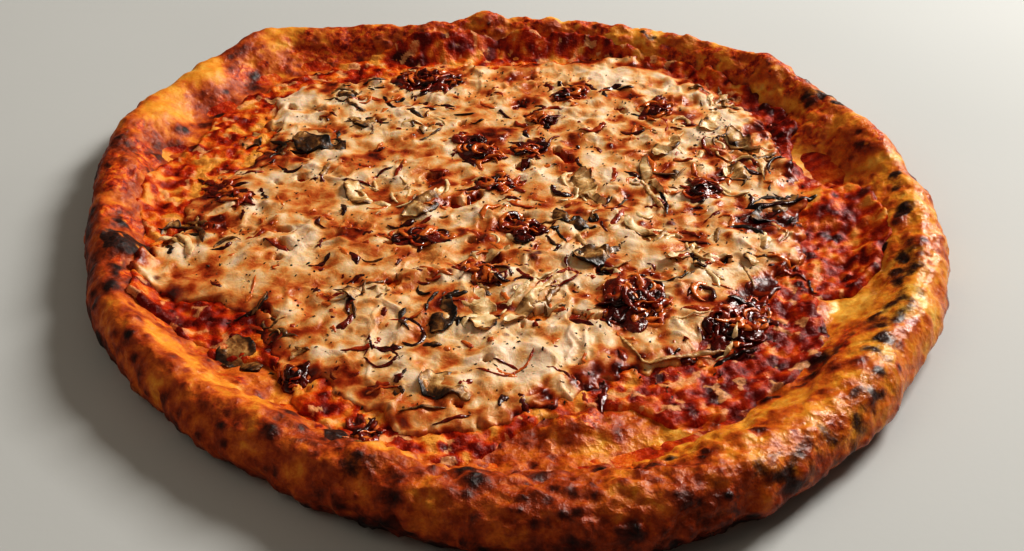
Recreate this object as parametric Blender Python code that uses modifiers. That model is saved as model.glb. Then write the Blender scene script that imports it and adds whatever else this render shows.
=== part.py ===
"""A baked pizza: a hand-stretched crust with a puffed rim, tomato sauce, melted cheese, mushroom slices and
clumps of caramelised onion.

Metres, +Z up. The origin is the middle of the flat underside, and the pizza lies on z = 0.
Places on the pizza are written in millimetres, as (x, y), with -Y at the front.
"""

import math
import random

import bmesh
import bpy
import numpy as np
from mathutils import Vector
from mathutils.bvhtree import BVHTree

MM = 0.001

# Driving dimensions of the crust
OUTER_RADIUS = 167.2 * MM
RIM_WIDTH = 32.0 * MM
RIM_HEIGHT = 19.0 * MM
BASE_THICKNESS = 5.0 * MM
TURN_STEPS = 84

# Driving dimensions of what lies on it
GAP = 0.35 * MM
SAUCE_THICKNESS = 1.7 * MM
SAUCE_RELIEF = 0.4 * MM
CHEESE_RADIUS = 114.6 * MM
CHEESE_THICKNESS = 2.3 * MM
CHEESE_EDGE = 1.1 * MM
CHEESE_RELIEF = 0.6 * MM
SLICE_THICKNESS = 1.8 * MM
STRIP_RADIUS = 1.1 * MM

# The sauce: its least share over a bubble, its shares on the rim's foot and at its edge, and its lumps' pitch
SAUCE_SHARE_ON_BUBBLES = 0.6
SAUCE_SHARE_ON_RIM = 1.1
SAUCE_SHARE_AT_EDGE = 0.75
SAUCE_LUMPS = (12.0 * MM, 25.0 * MM)

# How far round a place the sauce looks for higher dough, on the flat and near bubbles
SAUCE_ROOM = 0.4 * MM
SAUCE_ROOM_ON_BUBBLES = 2.6 * MM
SAUCE_LOOKOUT = 7.0 * MM

# The cheese: its rings as shares of its radius, the share over which its edge thins, and its lumps' pitch
CHEESE_RINGS = (0.0, 0.22, 0.4, 0.56, 0.7, 0.82, 0.92, 1.0)
CHEESE_THINNING = 0.12
CHEESE_LUMPS = (16.0 * MM, 34.0 * MM)

# Loose strips in the cheese: how many, how far out, their arcs, the room round them and how high they lie
LOOSE_STRIPS = 14
LOOSE_STRIP_REACH = 96.0 * MM
LOOSE_SWEEPS = (1.6, 3.6)
LOOSE_RADII = (4.5 * MM, 8.0 * MM)
LOOSE_ROOM = 5.0 * MM
LOOSE_STRIP_LEVEL = 0.45 * STRIP_RADIUS

# Waves round the pizza as (how many round, size in mm, angle of a crest in degrees)
OUTLINE_WAVES = ((2, 7.8, 122.6), (3, 6.2, 30.4), (4, 2.5, 46.2), (5, 2.9, 63.3))
RIM_WIDTH_WAVES = ((1, 7.0, 300.0), (2, 3.0, 300.0))
RIM_HEIGHT_WAVES = ((1, 1.6, 320.0), (4, 0.9, 15.0), (9, 0.7, 8.0), (13, 0.5, 20.0))
CHEESE_WAVES = (
    (1, 8.9, 114.0),
    (2, 4.4, 81.0),
    (3, 1.8, 7.0),
    (4, 2.2, 84.0),
    (5, 2.6, 53.0),
    (6, 5.1, 15.0),
    (7, 1.5, 44.0),
    (8, 2.9, 8.0),
)

# Ears and dents of the outline as (angle in degrees, size in mm, half width in degrees)
OUTLINE_EARS = ((128.0, 6.5, 5.0), (105.0, -5.5, 8.0), (92.0, 4.5, 3.5), (146.0, -3.0, 6.0))

# The rim's section as (distance in from the outer edge, height) in mm, from the dish over the crest to the floor
RIM_SECTION = (
    (32.0, 5.0),
    (28.0, 6.2),
    (23.0, 9.8),
    (18.0, 14.4),
    (13.0, 17.8),
    (9.0, 19.0),
    (5.2, 17.8),
    (2.2, 14.6),
    (0.5, 10.8),
    (0.0, 7.6),
    (1.1, 4.3),
    (3.8, 1.4),
    (8.5, 0.0),
)
DISH_RINGS = (0.0, 45.0, 85.0, 112.0, 122.0, 130.2)

# Bubbles baked into the dough as (x, y, reach along, reach across, turn in degrees, rise), in mm
BUBBLES = (
    (-134, -34, 15, 12, 60, 6.5),
    (-143, 20, 25, 12, 85, 3.5),
    (-141, 66, 16, 13, 80, 4.0),
    (-127, 100, 17, 14, 50, 4.5),
    (-104, 128, 15, 12, 35, 4.0),
    (-8, 151, 13, 9, 0, 3.5),
    (54, 138, 16, 11, -20, 3.0),
    (95, 116, 16, 13, -45, 3.0),
    (124, 60, 18, 14, -60, 5.0),
    (127, 2, 22, 18, 80, 5.5),
    (131, -30, 9, 8, 0, 2.5),
    (60, -138, 18, 11, 10, 3.0),
    (24, -122, 22, 10, 12, 4.5),
    (-35, -145, 15, 10, -10, 3.0),
    (-108, -102, 20, 9, -50, 2.0),
    (-82, -99, 15, 9, -45, 3.2),
    (108, -63, 17, 9, 62, 3.0),
    (114, 36, 14, 9, 100, 2.2),
)
# Bubbles raise what stands over BUBBLE_FOOT in the round crust, in full from the height of the base up
BUBBLE_FOOT = 3.0 * MM

# A mushroom slice: where its cap is and how wide its stem and its end are, how far round it looks for what
# lies under it, and how its sides and its cap's end rise
CAP_MIDDLE = -0.14
CAP_REACH = 0.40
STEM_WIDTH_SHARE = 0.42
END_WIDTH_SHARE = 0.25
SLICE_LOOKOUT_SHARE = 0.1
SLICE_SIDE_RISE = 0.21
SLICE_END_RISE = 0.39

# An onion clump: its low core, and the curled strips on it
CORE_SHARE = 0.85
CORE_LOOKOUT_SHARE = 0.12
CORE_UNEVENNESS = 0.18
CORE_LUMPS = (5.0 * MM, 11.0 * MM)
CORE_BOTTOM_SHARE = 0.3
CORE_EDGE_HEIGHT = 0.2 * MM
STRIPS_ALONG_SHARE = 0.45
STRIPS_ACROSS_SHARE = 0.22
CURL_RADIUS_SHARES = (0.26, 0.38)
CURL_SWEEPS = (2.4, 4.4)
STRIP_LOOKOUT = 2.2 * MM
STRIP_CLEARANCE = 1.1 * STRIP_RADIUS
STRIP_OVER_CORE = 0.35 * STRIP_RADIUS

# Mushroom slices as (x, y, turn in degrees, length, width, bend, lift), in mm
MUSHROOM_SLICES = (
    (-106, 58, 80, 14, 8, 1.0, 2.0),
    (-77, 49, -20, 24, 13, 3.0, 3.0),
    (-58, 70, 10, 17, 9, 3.0, 2.0),
    (-31, 63, 20, 11, 6, 1.0, 1.5),
    (-68, 95, 25, 12, 6, 1.0, 1.5),
    (-54, 11, -38, 25, 10, 4.0, 2.0),
    (-30, 4, 55, 26, 10, 2.0, 3.0),
    (-39, 129, 35, 28, 5, 2.0, 2.0),
    (-125, -16, -60, 30, 9, 6.0, 3.0),
    (-87, -87, -50, 20, 14, 2.0, 2.0),
    (-47, -55, 25, 19, 9, 3.0, 2.5),
    (-8, -64, 95, 28, 11, 1.0, 3.0),
    (-21, -66, 85, 24, 9, 2.0, 2.0),
    (8, -61, 60, 28, 6, 2.0, 3.0),
    (-18, -106, -30, 20, 12, 2.0, 2.0),
    (33, 15, -70, 28, 11, 3.0, 7.0),
    (58, 22, -78, 34, 8, 2.0, 6.0),
    (68, 51, 60, 26, 9, 2.0, 3.0),
    (88, 70, 70, 20, 10, 2.0, 3.0),
    (97, 93, -75, 18, 5, 3.0, 2.0),
    (98, 49, -60, 20, 8, 1.0, 6.0),
    (96, 28, 10, 18, 13, 1.0, 2.0),
    (104, 1, 40, 26, 9, 1.0, 3.0),
    (28, -9, -20, 22, 8, 3.0, 2.0),
    (55, -15, -25, 23, 7, 4.0, 2.0),
    (34, -31, 20, 19, 12, 2.0, 3.0),
    (66, -29, 50, 20, 5, 3.0, 3.0),
    (75, -35, 30, 18, 5, -3.0, 2.0),
    (94, -27, 70, 22, 12, 2.0, 1.0),
    (-5, -30, 20, 15, 7, 1.5, 1.5),
)

# Clumps of caramelised onion as (x, y, turn in degrees, length, width, height in mm, strips that show)
ONION_CLUMPS = (
    (-35, 107, -15, 36, 25, 6.3, 4),
    (-12, 46, -70, 32, 17, 5.0, 3),
    (11, 47, 20, 18, 13, 4.0, 1),
    (-3, 19, 10, 24, 11, 3.0, 1),
    (15, 70, -60, 16, 10, 4.0, 1),
    (28, 95, 50, 20, 10, 4.0, 1),
    (7, -14, -70, 24, 15, 5.0, 2),
    (45, -60, 80, 36, 25, 6.0, 4),
    (80, -71, 60, 38, 20, 6.0, 4),
    (65, 81, 60, 24, 13, 4.0, 2),
    (-109, 13, -40, 32, 10, 4.0, 2),
    (77, 14, 60, 24, 13, 4.0, 2),
    (-31, -19, 5, 28, 13, 3.0, 2),
    (-9, -42, -20, 22, 8, 3.0, 1),
    (-68, -98, -60, 12, 9, 4.0, 1),
    (-43, -126, -70, 22, 7, 4.0, 1),
)


def clear_scene():
    for old in list(bpy.data.objects):
        bpy.data.objects.remove(old)


def collection_named(name):
    made = bpy.data.collections.new(name)
    bpy.context.scene.collection.children.link(made)
    return made


def finish_material(name, colour, roughness):
    material = bpy.data.materials.new(name)
    material.use_nodes = True
    shader = material.node_tree.nodes["Principled BSDF"]
    shader.inputs["Base Color"].default_value = (*colour, 1.0)
    shader.inputs["Roughness"].default_value = roughness
    shader.inputs["Metallic"].default_value = 0.0
    return material


# Form of the crust, by angle and by distance in from the edge


def wave_sum(angle, waves):
    """The sum of cosine waves round the pizza, in metres."""
    return sum(size * MM * math.cos(count * (angle - math.radians(crest))) for count, size, crest in waves)


def ear_sum(angle):
    """Local ears and dents of the outline, each a bell over the angle."""
    total = 0.0
    for middle, size, spread in OUTLINE_EARS:
        away = math.degrees(math.remainder(angle - math.radians(middle), math.tau)) / spread
        total += size * MM * math.exp(-away * away)
    return total


def outer_radius(angle):
    return OUTER_RADIUS + wave_sum(angle, OUTLINE_WAVES) + ear_sum(angle)


def rim_stretch(angle):
    """How wide the rim is at an angle, as a share of its nominal width."""
    return 1.0 + wave_sum(angle, RIM_WIDTH_WAVES) / RIM_WIDTH


def rim_rise(angle):
    """How high the rim stands over the base at an angle, as a share of its nominal height."""
    return 1.0 + wave_sum(angle, RIM_HEIGHT_WAVES) / (RIM_HEIGHT - BASE_THICKNESS)


def bubble_lift(x, y):
    """The rise of the dough at a place, where each bubble is a smooth dome over an ellipse."""
    total = 0.0
    for bx, by, along, across, turn, rise in BUBBLES:
        c, s = math.cos(math.radians(turn)), math.sin(math.radians(turn))
        dx, dy = x / MM - bx, y / MM - by
        q = ((dx * c + dy * s) / along) ** 2 + ((dy * c - dx * s) / across) ** 2
        if q < 1.0:
            total += rise * MM * (1.0 - q) ** 2
    return total


def lumps(x, y, seed, shortest, longest, count=10):
    """A smooth random relief between about -1 and 1: plane waves in seeded directions, added up."""
    draw = random.Random(seed)
    total = 0.0
    for _ in range(count):
        turn, phase = draw.uniform(0, math.tau), draw.uniform(0, math.tau)
        pitch = draw.uniform(shortest, longest)
        total += math.sin(math.tau / pitch * (x * math.cos(turn) + y * math.sin(turn)) + phase)
    return total * math.sqrt(2.0 / count) / 2.0


def shaped_point(point):
    """Moves a point of the round, even crust to where the hand-stretched crust has it."""
    angle = math.atan2(point.y, point.x)
    nominal = math.hypot(point.x, point.y)
    dish = OUTER_RADIUS - RIM_WIDTH
    edge, stretch = outer_radius(angle), rim_stretch(angle)
    if nominal >= dish:
        radius = edge - (OUTER_RADIUS - nominal) * stretch
    else:
        radius = nominal * (edge - RIM_WIDTH * stretch) / dish
    height = point.z
    if height > BASE_THICKNESS:
        height = BASE_THICKNESS + (height - BASE_THICKNESS) * rim_rise(angle)
    x, y = radius * math.cos(angle), radius * math.sin(angle)
    upper = min(1.0, max(0.0, point.z - BUBBLE_FOOT) / (BASE_THICKNESS - BUBBLE_FOOT))
    lift = bubble_lift(x, y) * upper
    return Vector((x, y, height + lift))


# Solids


def lathe(name, section, collection):
    """A closed solid turned about Z from (radius, height) points that run from the axis over the top, down the
    outer side and back under to the axis."""
    mesh = bpy.data.meshes.new(name + "_section")
    mesh.from_pydata([(r, 0.0, z) for r, z in section], [(i, i + 1) for i in range(len(section) - 1)], [])
    obj = bpy.data.objects.new(name, mesh)
    collection.objects.link(obj)
    screw = obj.modifiers.new("Turn", "SCREW")
    screw.axis = "Z"
    screw.angle = math.tau
    screw.steps = screw.render_steps = TURN_STEPS
    screw.use_merge_vertices = True
    screw.merge_threshold = 0.01 * MM
    return applied(obj)


def applied(obj):
    """Replaces an object by a plain mesh of what its modifiers or its curve make, welded and facing out."""
    bpy.context.view_layer.update()
    graph = bpy.context.evaluated_depsgraph_get()
    mesh = bpy.data.meshes.new_from_object(obj.evaluated_get(graph))
    name, matrix, collection = obj.name, obj.matrix_world.copy(), obj.users_collection[0]
    bpy.data.objects.remove(obj)
    made = bpy.data.objects.new(name, mesh)
    made.matrix_world = matrix
    collection.objects.link(made)
    work = bmesh.new()
    work.from_mesh(mesh)
    bmesh.ops.remove_doubles(work, verts=work.verts, dist=0.005 * MM)
    bmesh.ops.recalc_face_normals(work, faces=work.faces)
    work.to_mesh(mesh)
    work.free()
    return made


def finished(obj, material):
    obj.data.materials.clear()
    obj.data.materials.append(material)
    obj.data.shade_smooth()
    return obj


def reshape(obj, rule):
    for vertex in obj.data.vertices:
        vertex.co = rule(vertex.co)
    obj.data.update()


def search_tree(obj):
    """A tree of the object's faces that a ray can be cast on."""
    work = bmesh.new()
    work.from_mesh(obj.data)
    bmesh.ops.triangulate(work, faces=work.faces)
    tree = BVHTree.FromBMesh(work)
    work.free()
    return tree


def top_height(trees, x, y, around=0.0):
    """The height of the highest surface at a place, or the highest of that and eight places round it."""
    steps = (-around, 0.0, around) if around else (0.0,)
    best = 0.0
    for dx in steps:
        for dy in steps:
            for tree in trees:
                hit = tree.ray_cast(Vector((x + dx, y + dy, 0.1)), Vector((0, 0, -1)))[0]
                if hit:
                    best = max(best, hit.z)
    return best


def make_crust(collection, material):
    """The dough: a dish with a puffed rim that its outline, width, height and bubbles make uneven."""
    section = [(ring * MM, BASE_THICKNESS) for ring in DISH_RINGS]
    section += [(OUTER_RADIUS - inward * MM, height * MM) for inward, height in RIM_SECTION]
    section.append((0.0, 0.0))
    crust = lathe("crust", section, collection)
    reshape(crust, shaped_point)
    return finished(crust, material)


def make_sauce(collection, material, crust_tree):
    """The tomato sauce: a thin lumpy layer over the dish that climbs the foot of the rim."""
    flat = DISH_RINGS[-1] * MM
    top = BASE_THICKNESS + GAP + SAUCE_THICKNESS
    rings = [0.0] + [ring * MM for ring in DISH_RINGS[3:]]
    rings += [OUTER_RADIUS - inward * MM for inward, _ in RIM_SECTION[:3]]
    section = [(ring, top) for ring in rings] + [(ring, 0.0) for ring in reversed(rings)]
    sauce = lathe("sauce", section, collection)

    def rule(point):
        under = point.z < BASE_THICKNESS
        placed = shaped_point(Vector((point.x, point.y, 0.0)))
        steps = (-SAUCE_LOOKOUT, 0.0, SAUCE_LOOKOUT)
        puffed = any(bubble_lift(placed.x + dx, placed.y + dy) > 0.0 for dx in steps for dy in steps)
        around = SAUCE_ROOM_ON_BUBBLES if puffed else SAUCE_ROOM
        floor = top_height([crust_tree], placed.x, placed.y, around) + GAP
        if under:
            return Vector((placed.x, placed.y, floor))
        nominal = math.hypot(point.x, point.y)
        if nominal < flat - 1 * MM:
            return Vector((placed.x, placed.y, max(top, floor + SAUCE_THICKNESS * SAUCE_SHARE_ON_BUBBLES)))
        share = SAUCE_SHARE_AT_EDGE if nominal > rings[-2] + 1 * MM else SAUCE_SHARE_ON_RIM
        relief = SAUCE_RELIEF * lumps(placed.x, placed.y, 5, *SAUCE_LUMPS)
        return Vector((placed.x, placed.y, floor + SAUCE_THICKNESS * share + relief))

    reshape(sauce, rule)
    return finished(sauce, material)


def cheese_radius(angle):
    return CHEESE_RADIUS + wave_sum(angle, CHEESE_WAVES)


def make_cheese_sheet(collection, sauce_tree):
    """The melted cheese: an uneven sheet with a lobed edge, thinner there, on the flat of the sauce."""
    upper = [(ring * CHEESE_RADIUS, 1.0 * MM) for ring in CHEESE_RINGS]
    lower = [(CHEESE_RADIUS, 0.0), ((1.0 - CHEESE_THINNING) * CHEESE_RADIUS, 0.0), (0.0, 0.0)]
    sheet = lathe("cheese", upper + lower, collection)

    def rule(point):
        angle = math.atan2(point.y, point.x)
        share = math.hypot(point.x, point.y) / CHEESE_RADIUS
        radius = share * cheese_radius(angle)
        x, y = radius * math.cos(angle), radius * math.sin(angle)
        floor = top_height([sauce_tree], x, y) + GAP
        if point.z < 0.5 * MM:
            return Vector((x, y, floor))
        fall = min(1.0, (1.0 - share) / CHEESE_THINNING)
        thick = CHEESE_EDGE + (CHEESE_THICKNESS - CHEESE_EDGE) * fall
        return Vector((x, y, floor + thick + CHEESE_RELIEF * fall * lumps(x, y, 11, *CHEESE_LUMPS)))

    reshape(sheet, rule)
    return sheet


def join_to(obj, others):
    """Fuses a collection of solids into obj with one union, and removes them."""
    union = obj.modifiers.new("Join", "BOOLEAN")
    union.operation = "UNION"
    union.operand_type = "COLLECTION"
    union.collection = others
    union.solver = "MANIFOLD"
    joined = applied(obj)
    for piece in list(others.objects):
        bpy.data.objects.remove(piece)
    bpy.data.collections.remove(others)
    return joined


def tube(name, points, radius, collection):
    """A strip of onion: a four-sided tube along points, closed at both ends."""
    curve = bpy.data.curves.new(name, "CURVE")
    curve.dimensions = "3D"
    curve.bevel_depth = radius
    curve.bevel_resolution = 0
    curve.use_fill_caps = True
    spline = curve.splines.new("POLY")
    spline.points.add(len(points) - 1)
    for target, point in zip(spline.points, points):
        target.co = (*point, 1.0)
    obj = bpy.data.objects.new(name, curve)
    collection.objects.link(obj)
    return applied(obj)


def arc_points(x, y, start, sweep, radius, count=5):
    """Points along an arc in plan, as (x, y)."""
    turns = [start + sweep * i / (count - 1) for i in range(count)]
    return [(x + radius * math.cos(t), y + radius * math.sin(t)) for t in turns]


def inside_ellipse(x, y, entry, room):
    """Whether a place is within room of a topping's ellipse."""
    ex, ey, turn, length, width = (entry[0] * MM, entry[1] * MM, math.radians(entry[2]), entry[3], entry[4])
    dx, dy = x - ex, y - ey
    along = dx * math.cos(turn) + dy * math.sin(turn)
    across = dy * math.cos(turn) - dx * math.sin(turn)
    return (along / (length * MM / 2 + room)) ** 2 + (across / (width * MM / 2 + room)) ** 2 < 1.0


def loose_strip_arcs():
    """Where the loose onion strips lie: seeded arcs, kept clear of the slices, the clumps and each other."""
    draw = random.Random(23)
    kept = []
    while len(kept) < LOOSE_STRIPS:
        angle, reach = draw.uniform(0, math.tau), LOOSE_STRIP_REACH * math.sqrt(draw.random())
        x, y = reach * math.cos(angle), reach * math.sin(angle)
        start, sweep = draw.uniform(0, math.tau), draw.uniform(*LOOSE_SWEEPS)
        points = arc_points(x, y, start, sweep, draw.uniform(*LOOSE_RADII))
        blocked = any(
            inside_ellipse(px, py, entry, LOOSE_ROOM)
            for px, py in points
            for entry in MUSHROOM_SLICES + ONION_CLUMPS
        )
        near = any(math.dist(p, q) < LOOSE_ROOM for p in points for other in kept for q in other)
        if not blocked and not near:
            kept.append(points)
    return kept


def make_cheese(collection, material, sauce_tree):
    """The cheese with the loose onion strips fused into it."""
    sheet = make_cheese_sheet(collection, sauce_tree)
    tree = search_tree(sheet)
    strips = collection_named("loose_strips")
    for number, points in enumerate(loose_strip_arcs()):
        path = [(x, y, top_height([tree], x, y) + LOOSE_STRIP_LEVEL) for x, y in points]
        tube(f"loose_strip_{number}", path, STRIP_RADIUS, strips)
    return finished(join_to(sheet, strips), material)


def slice_half_width(u, width):
    """Half the width of a mushroom slice at u, from -0.5 at the cap's round end to 0.5 at the stem's."""
    cap = math.sqrt(max(0.0, 1.0 - ((u - CAP_MIDDLE) / CAP_REACH) ** 2))
    stem = STEM_WIDTH_SHARE if u > CAP_MIDDLE else 0.0
    return width / 2 * max(cap, stem, END_WIDTH_SHARE)


def make_slice(name, entry, collection, material, trees):
    """A mushroom slice: a thin cupped sheet with a cap and a stem, laid over what is under it."""
    x, y, turn, length, width, bend, lift = entry
    bpy.ops.mesh.primitive_grid_add(x_subdivisions=5, y_subdivisions=2, size=1.0)
    sheet = bpy.context.active_object
    sheet.name = name
    for old in list(sheet.users_collection):
        old.objects.unlink(sheet)
    collection.objects.link(sheet)
    c, s = math.cos(math.radians(turn)), math.sin(math.radians(turn))

    def rule(point):
        u, v = point.x, 2.0 * point.y
        along = u * length * MM
        across = v * slice_half_width(u, width) * MM + bend * MM * (4.0 * u * u - 0.5)
        px = x * MM + along * c - across * s
        py = y * MM + along * s + across * c
        rise = lift * MM * (SLICE_SIDE_RISE * v * v + SLICE_END_RISE * max(0.0, -2.0 * u) ** 2)
        return Vector((px, py, top_height(trees, px, py, SLICE_LOOKOUT_SHARE * length * MM) + GAP + rise))

    reshape(sheet, rule)
    split = sheet.modifiers.new("Split", "TRIANGULATE")
    split.quad_method = "FIXED"
    thick = sheet.modifiers.new("Thickness", "SOLIDIFY")
    thick.thickness = SLICE_THICKNESS
    thick.offset = 1.0
    return finished(applied(sheet), material)


def make_clump(name, entry, number, collection, material, trees):
    """A clump of caramelised onion: a low core with the strips that show fused on."""
    x, y, turn, length, width, height, strips = entry
    c, s = math.cos(math.radians(turn)), math.sin(math.radians(turn))

    def placed(a, b):
        return x * MM + a * c - b * s, y * MM + a * s + b * c

    bpy.ops.mesh.primitive_ico_sphere_add(subdivisions=2, radius=1.0)
    core = bpy.context.active_object
    core.name = name
    for old in list(core.users_collection):
        old.objects.unlink(core)
    collection.objects.link(core)

    def core_rule(point):
        a, b = point.x * length / 2 * CORE_SHARE * MM, point.y * width / 2 * CORE_SHARE * MM
        px, py = placed(a, b)
        rough = 1.0 + CORE_UNEVENNESS * lumps(px, py, 31, *CORE_LUMPS)
        rise = max(0.0, point.z) * height * MM * rough
        floor = top_height(trees, px, py, CORE_LOOKOUT_SHARE * length * MM) + GAP
        return Vector((px, py, floor + max(rise, CORE_EDGE_HEIGHT * (point.z > -CORE_BOTTOM_SHARE))))

    reshape(core, core_rule)
    core_tree = search_tree(core)
    draw = random.Random(100 + number)
    pieces = collection_named(name + "_strips")
    for k in range(strips):
        a = draw.uniform(-STRIPS_ALONG_SHARE, STRIPS_ALONG_SHARE) * (length / 2) * MM
        b = draw.uniform(-STRIPS_ACROSS_SHARE, STRIPS_ACROSS_SHARE) * (width / 2) * MM
        radius = draw.uniform(*CURL_RADIUS_SHARES) * width * MM
        start, sweep = draw.uniform(0, math.tau), draw.uniform(*CURL_SWEEPS)
        path = []
        for pa, pb in arc_points(a, b, start, sweep, radius):
            px, py = placed(pa, pb)
            clear = top_height(trees, px, py, STRIP_LOOKOUT) + GAP + STRIP_CLEARANCE
            path.append((px, py, max(clear, top_height([core_tree], px, py) + STRIP_OVER_CORE)))
        tube(f"{name}_strip_{k}", path, STRIP_RADIUS, pieces)
    return finished(join_to(core, pieces), material)


def main():
    clear_scene()
    pizza = collection_named("pizza")
    dough = finish_material("baked_dough", (0.56, 0.27, 0.09), 0.55)
    tomato = finish_material("tomato_sauce", (0.42, 0.06, 0.02), 0.3)
    melted = finish_material("melted_cheese", (0.80, 0.58, 0.30), 0.35)
    flesh = finish_material("mushroom_flesh", (0.50, 0.40, 0.26), 0.45)
    caramel = finish_material("caramelised_onion", (0.16, 0.03, 0.01), 0.25)

    crust = make_crust(pizza, dough)
    crust_tree = search_tree(crust)
    sauce = make_sauce(pizza, tomato, crust_tree)
    sauce_tree = search_tree(sauce)
    cheese = make_cheese(pizza, melted, sauce_tree)
    layers = [crust_tree, sauce_tree, search_tree(cheese)]
    for number, entry in enumerate(MUSHROOM_SLICES):
        made = make_slice(f"mushroom_{number + 1:02d}", entry, pizza, flesh, layers)
        layers.append(search_tree(made))
    for number, entry in enumerate(ONION_CLUMPS):
        made = make_clump(f"onion_{number + 1:02d}", entry, number, pizza, caramel, layers)
        layers.append(search_tree(made))


main()
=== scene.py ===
"""The looks of a baked pizza: puffed crust, tomato sauce, melted cheese, mushroom slices and caramelised onion.

Places are in millimetres, as (x, y) seen from above with -Y at the front, until a mesh is made, which is in metres.
"""

import math

import bpy
import numpy as np
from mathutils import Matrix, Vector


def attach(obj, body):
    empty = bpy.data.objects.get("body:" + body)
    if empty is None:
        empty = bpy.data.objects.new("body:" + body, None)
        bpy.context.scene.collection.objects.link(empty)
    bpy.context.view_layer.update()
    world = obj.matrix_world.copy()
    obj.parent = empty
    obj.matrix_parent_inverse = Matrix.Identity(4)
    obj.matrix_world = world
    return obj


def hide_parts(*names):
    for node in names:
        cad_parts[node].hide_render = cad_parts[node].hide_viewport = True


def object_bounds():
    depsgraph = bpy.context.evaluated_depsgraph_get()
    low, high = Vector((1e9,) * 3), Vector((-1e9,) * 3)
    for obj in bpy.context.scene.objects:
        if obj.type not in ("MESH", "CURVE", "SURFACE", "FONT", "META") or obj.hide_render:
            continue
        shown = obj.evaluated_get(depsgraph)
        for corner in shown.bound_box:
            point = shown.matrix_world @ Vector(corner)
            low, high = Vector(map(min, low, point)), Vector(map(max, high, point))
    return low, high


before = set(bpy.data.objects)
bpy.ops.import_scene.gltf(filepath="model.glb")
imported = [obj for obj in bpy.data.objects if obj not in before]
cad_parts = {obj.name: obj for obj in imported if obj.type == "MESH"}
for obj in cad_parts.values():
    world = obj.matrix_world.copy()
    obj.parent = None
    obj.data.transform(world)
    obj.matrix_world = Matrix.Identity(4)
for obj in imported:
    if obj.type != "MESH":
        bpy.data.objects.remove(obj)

CAD_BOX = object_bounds()
MM = 0.001
TAU = math.tau

# Form of the crust, as the solids have it
OUTER_RADIUS = 167.2
RIM_WIDTH = 32.0
RIM_HEIGHT = 19.0
BASE = 5.0
OUTLINE_WAVES = ((2, 7.8, 122.6), (3, 6.2, 30.4), (4, 2.5, 46.2), (5, 2.9, 63.3))
RIM_WIDTH_WAVES = ((1, 7.0, 300.0), (2, 3.0, 300.0))
RIM_HEIGHT_WAVES = ((1, 1.6, 320.0), (4, 0.9, 15.0), (9, 0.7, 8.0), (13, 0.5, 20.0))
OUTLINE_EARS = ((128.0, 6.5, 5.0), (105.0, -5.5, 8.0), (92.0, 4.5, 3.5), (146.0, -3.0, 6.0))
RIM_SECTION = (
    (32.0, 5.0), (28.0, 6.2), (23.0, 9.8), (18.0, 14.4), (13.0, 17.8), (9.0, 19.0), (5.2, 17.8), (2.2, 14.6),
    (0.5, 10.8), (0.0, 7.6), (1.1, 4.3), (3.8, 1.4), (8.5, 0.0),
)
CREST = 9.0

# Where the cheese ends and where the sauce ends, as pairs of angle in degrees and radius
CHEESE_EDGE = (
    (0, 115), (10, 119), (20, 121), (27, 126), (33, 133), (40, 136), (48, 136), (55, 139), (62, 145), (68, 143),
    (74, 137), (80, 131), (90, 126), (100, 127), (108, 129), (116, 127), (124, 132), (131, 139), (137, 137),
    (143, 128), (149, 117), (154, 108), (160, 110), (166, 118), (172, 119), (178, 122), (185, 123), (190, 127),
    (194, 133), (199, 139), (204, 134), (209, 118), (216, 109), (222, 113), (228, 116), (234, 118), (240, 118),
    (246, 120), (252, 124), (258, 130), (264, 129), (268, 123), (274, 114), (280, 111), (286, 109), (291, 106),
    (297, 110), (303, 109), (310, 105), (318, 105), (325, 105), (332, 109), (340, 111), (347, 113), (354, 113),
    (360, 115),
)
SAUCE_EDGE = (
    (0, 143), (8, 138), (14, 126), (20, 126), (24, 132), (30, 142), (40, 147), (50, 148), (60, 149), (70, 149),
    (80, 148), (90, 147), (100, 147), (110, 149), (120, 150), (130, 152), (140, 151), (150, 147), (156, 143),
    (164, 145), (172, 144), (180, 142), (185, 137), (190, 133), (195, 134), (200, 141), (206, 143), (212, 136),
    (218, 133), (224, 130), (229, 121), (235, 122), (241, 132), (247, 136), (253, 140), (260, 141), (266, 140),
    (270, 128), (276, 119), (284, 117), (290, 121), (294, 135), (302, 137), (310, 137), (318, 138), (325, 136),
    (329, 129), (333, 124), (338, 136), (345, 143), (352, 145), (360, 143),
)
SAUCE_THICKNESS = 1.9
SAUCE_SUNK = 5.5
SAUCE_RISE = 7.2
CHEESE_THICKNESS = 2.3
CHEESE_EDGE_SHARE = 0.45
CHEESE_SUNK = 4.4
CHEESE_LAP = 9.0
INSIDE_BOX = 0.2

# Noise on the edges and on the forms, as (size, pitch, seed)
CHEESE_EDGE_NOISE = ((4.0, 13.0, 31), (3.0, 6.0, 32), (1.5, 3.0, 33))
SAUCE_EDGE_NOISE = ((2.5, 12.0, 51), (1.4, 5.0, 52))
CHEESE_NOISE = ((1.3, 19.0, 41), (1.1, 9.0, 42))
CHEESE_STRANDS = ((0.16, 15.0, 45), (0.14, 11.0, 46))
TOAST_NOISE = ((0.16, 22.0, 71), (0.20, 9.0, 72), (0.14, 3.5, 73))

# Grids: how many steps round each form and along it
CRUST_TURNS = 860
RIM_STEPS = 84
SAUCE_TURNS = 900
SAUCE_RINGS = 92
CHEESE_GRID = 308
CHEESE_REACH = 141.0
MAP_PITCH = 0.8
MAP_HALF = 150.0

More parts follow.
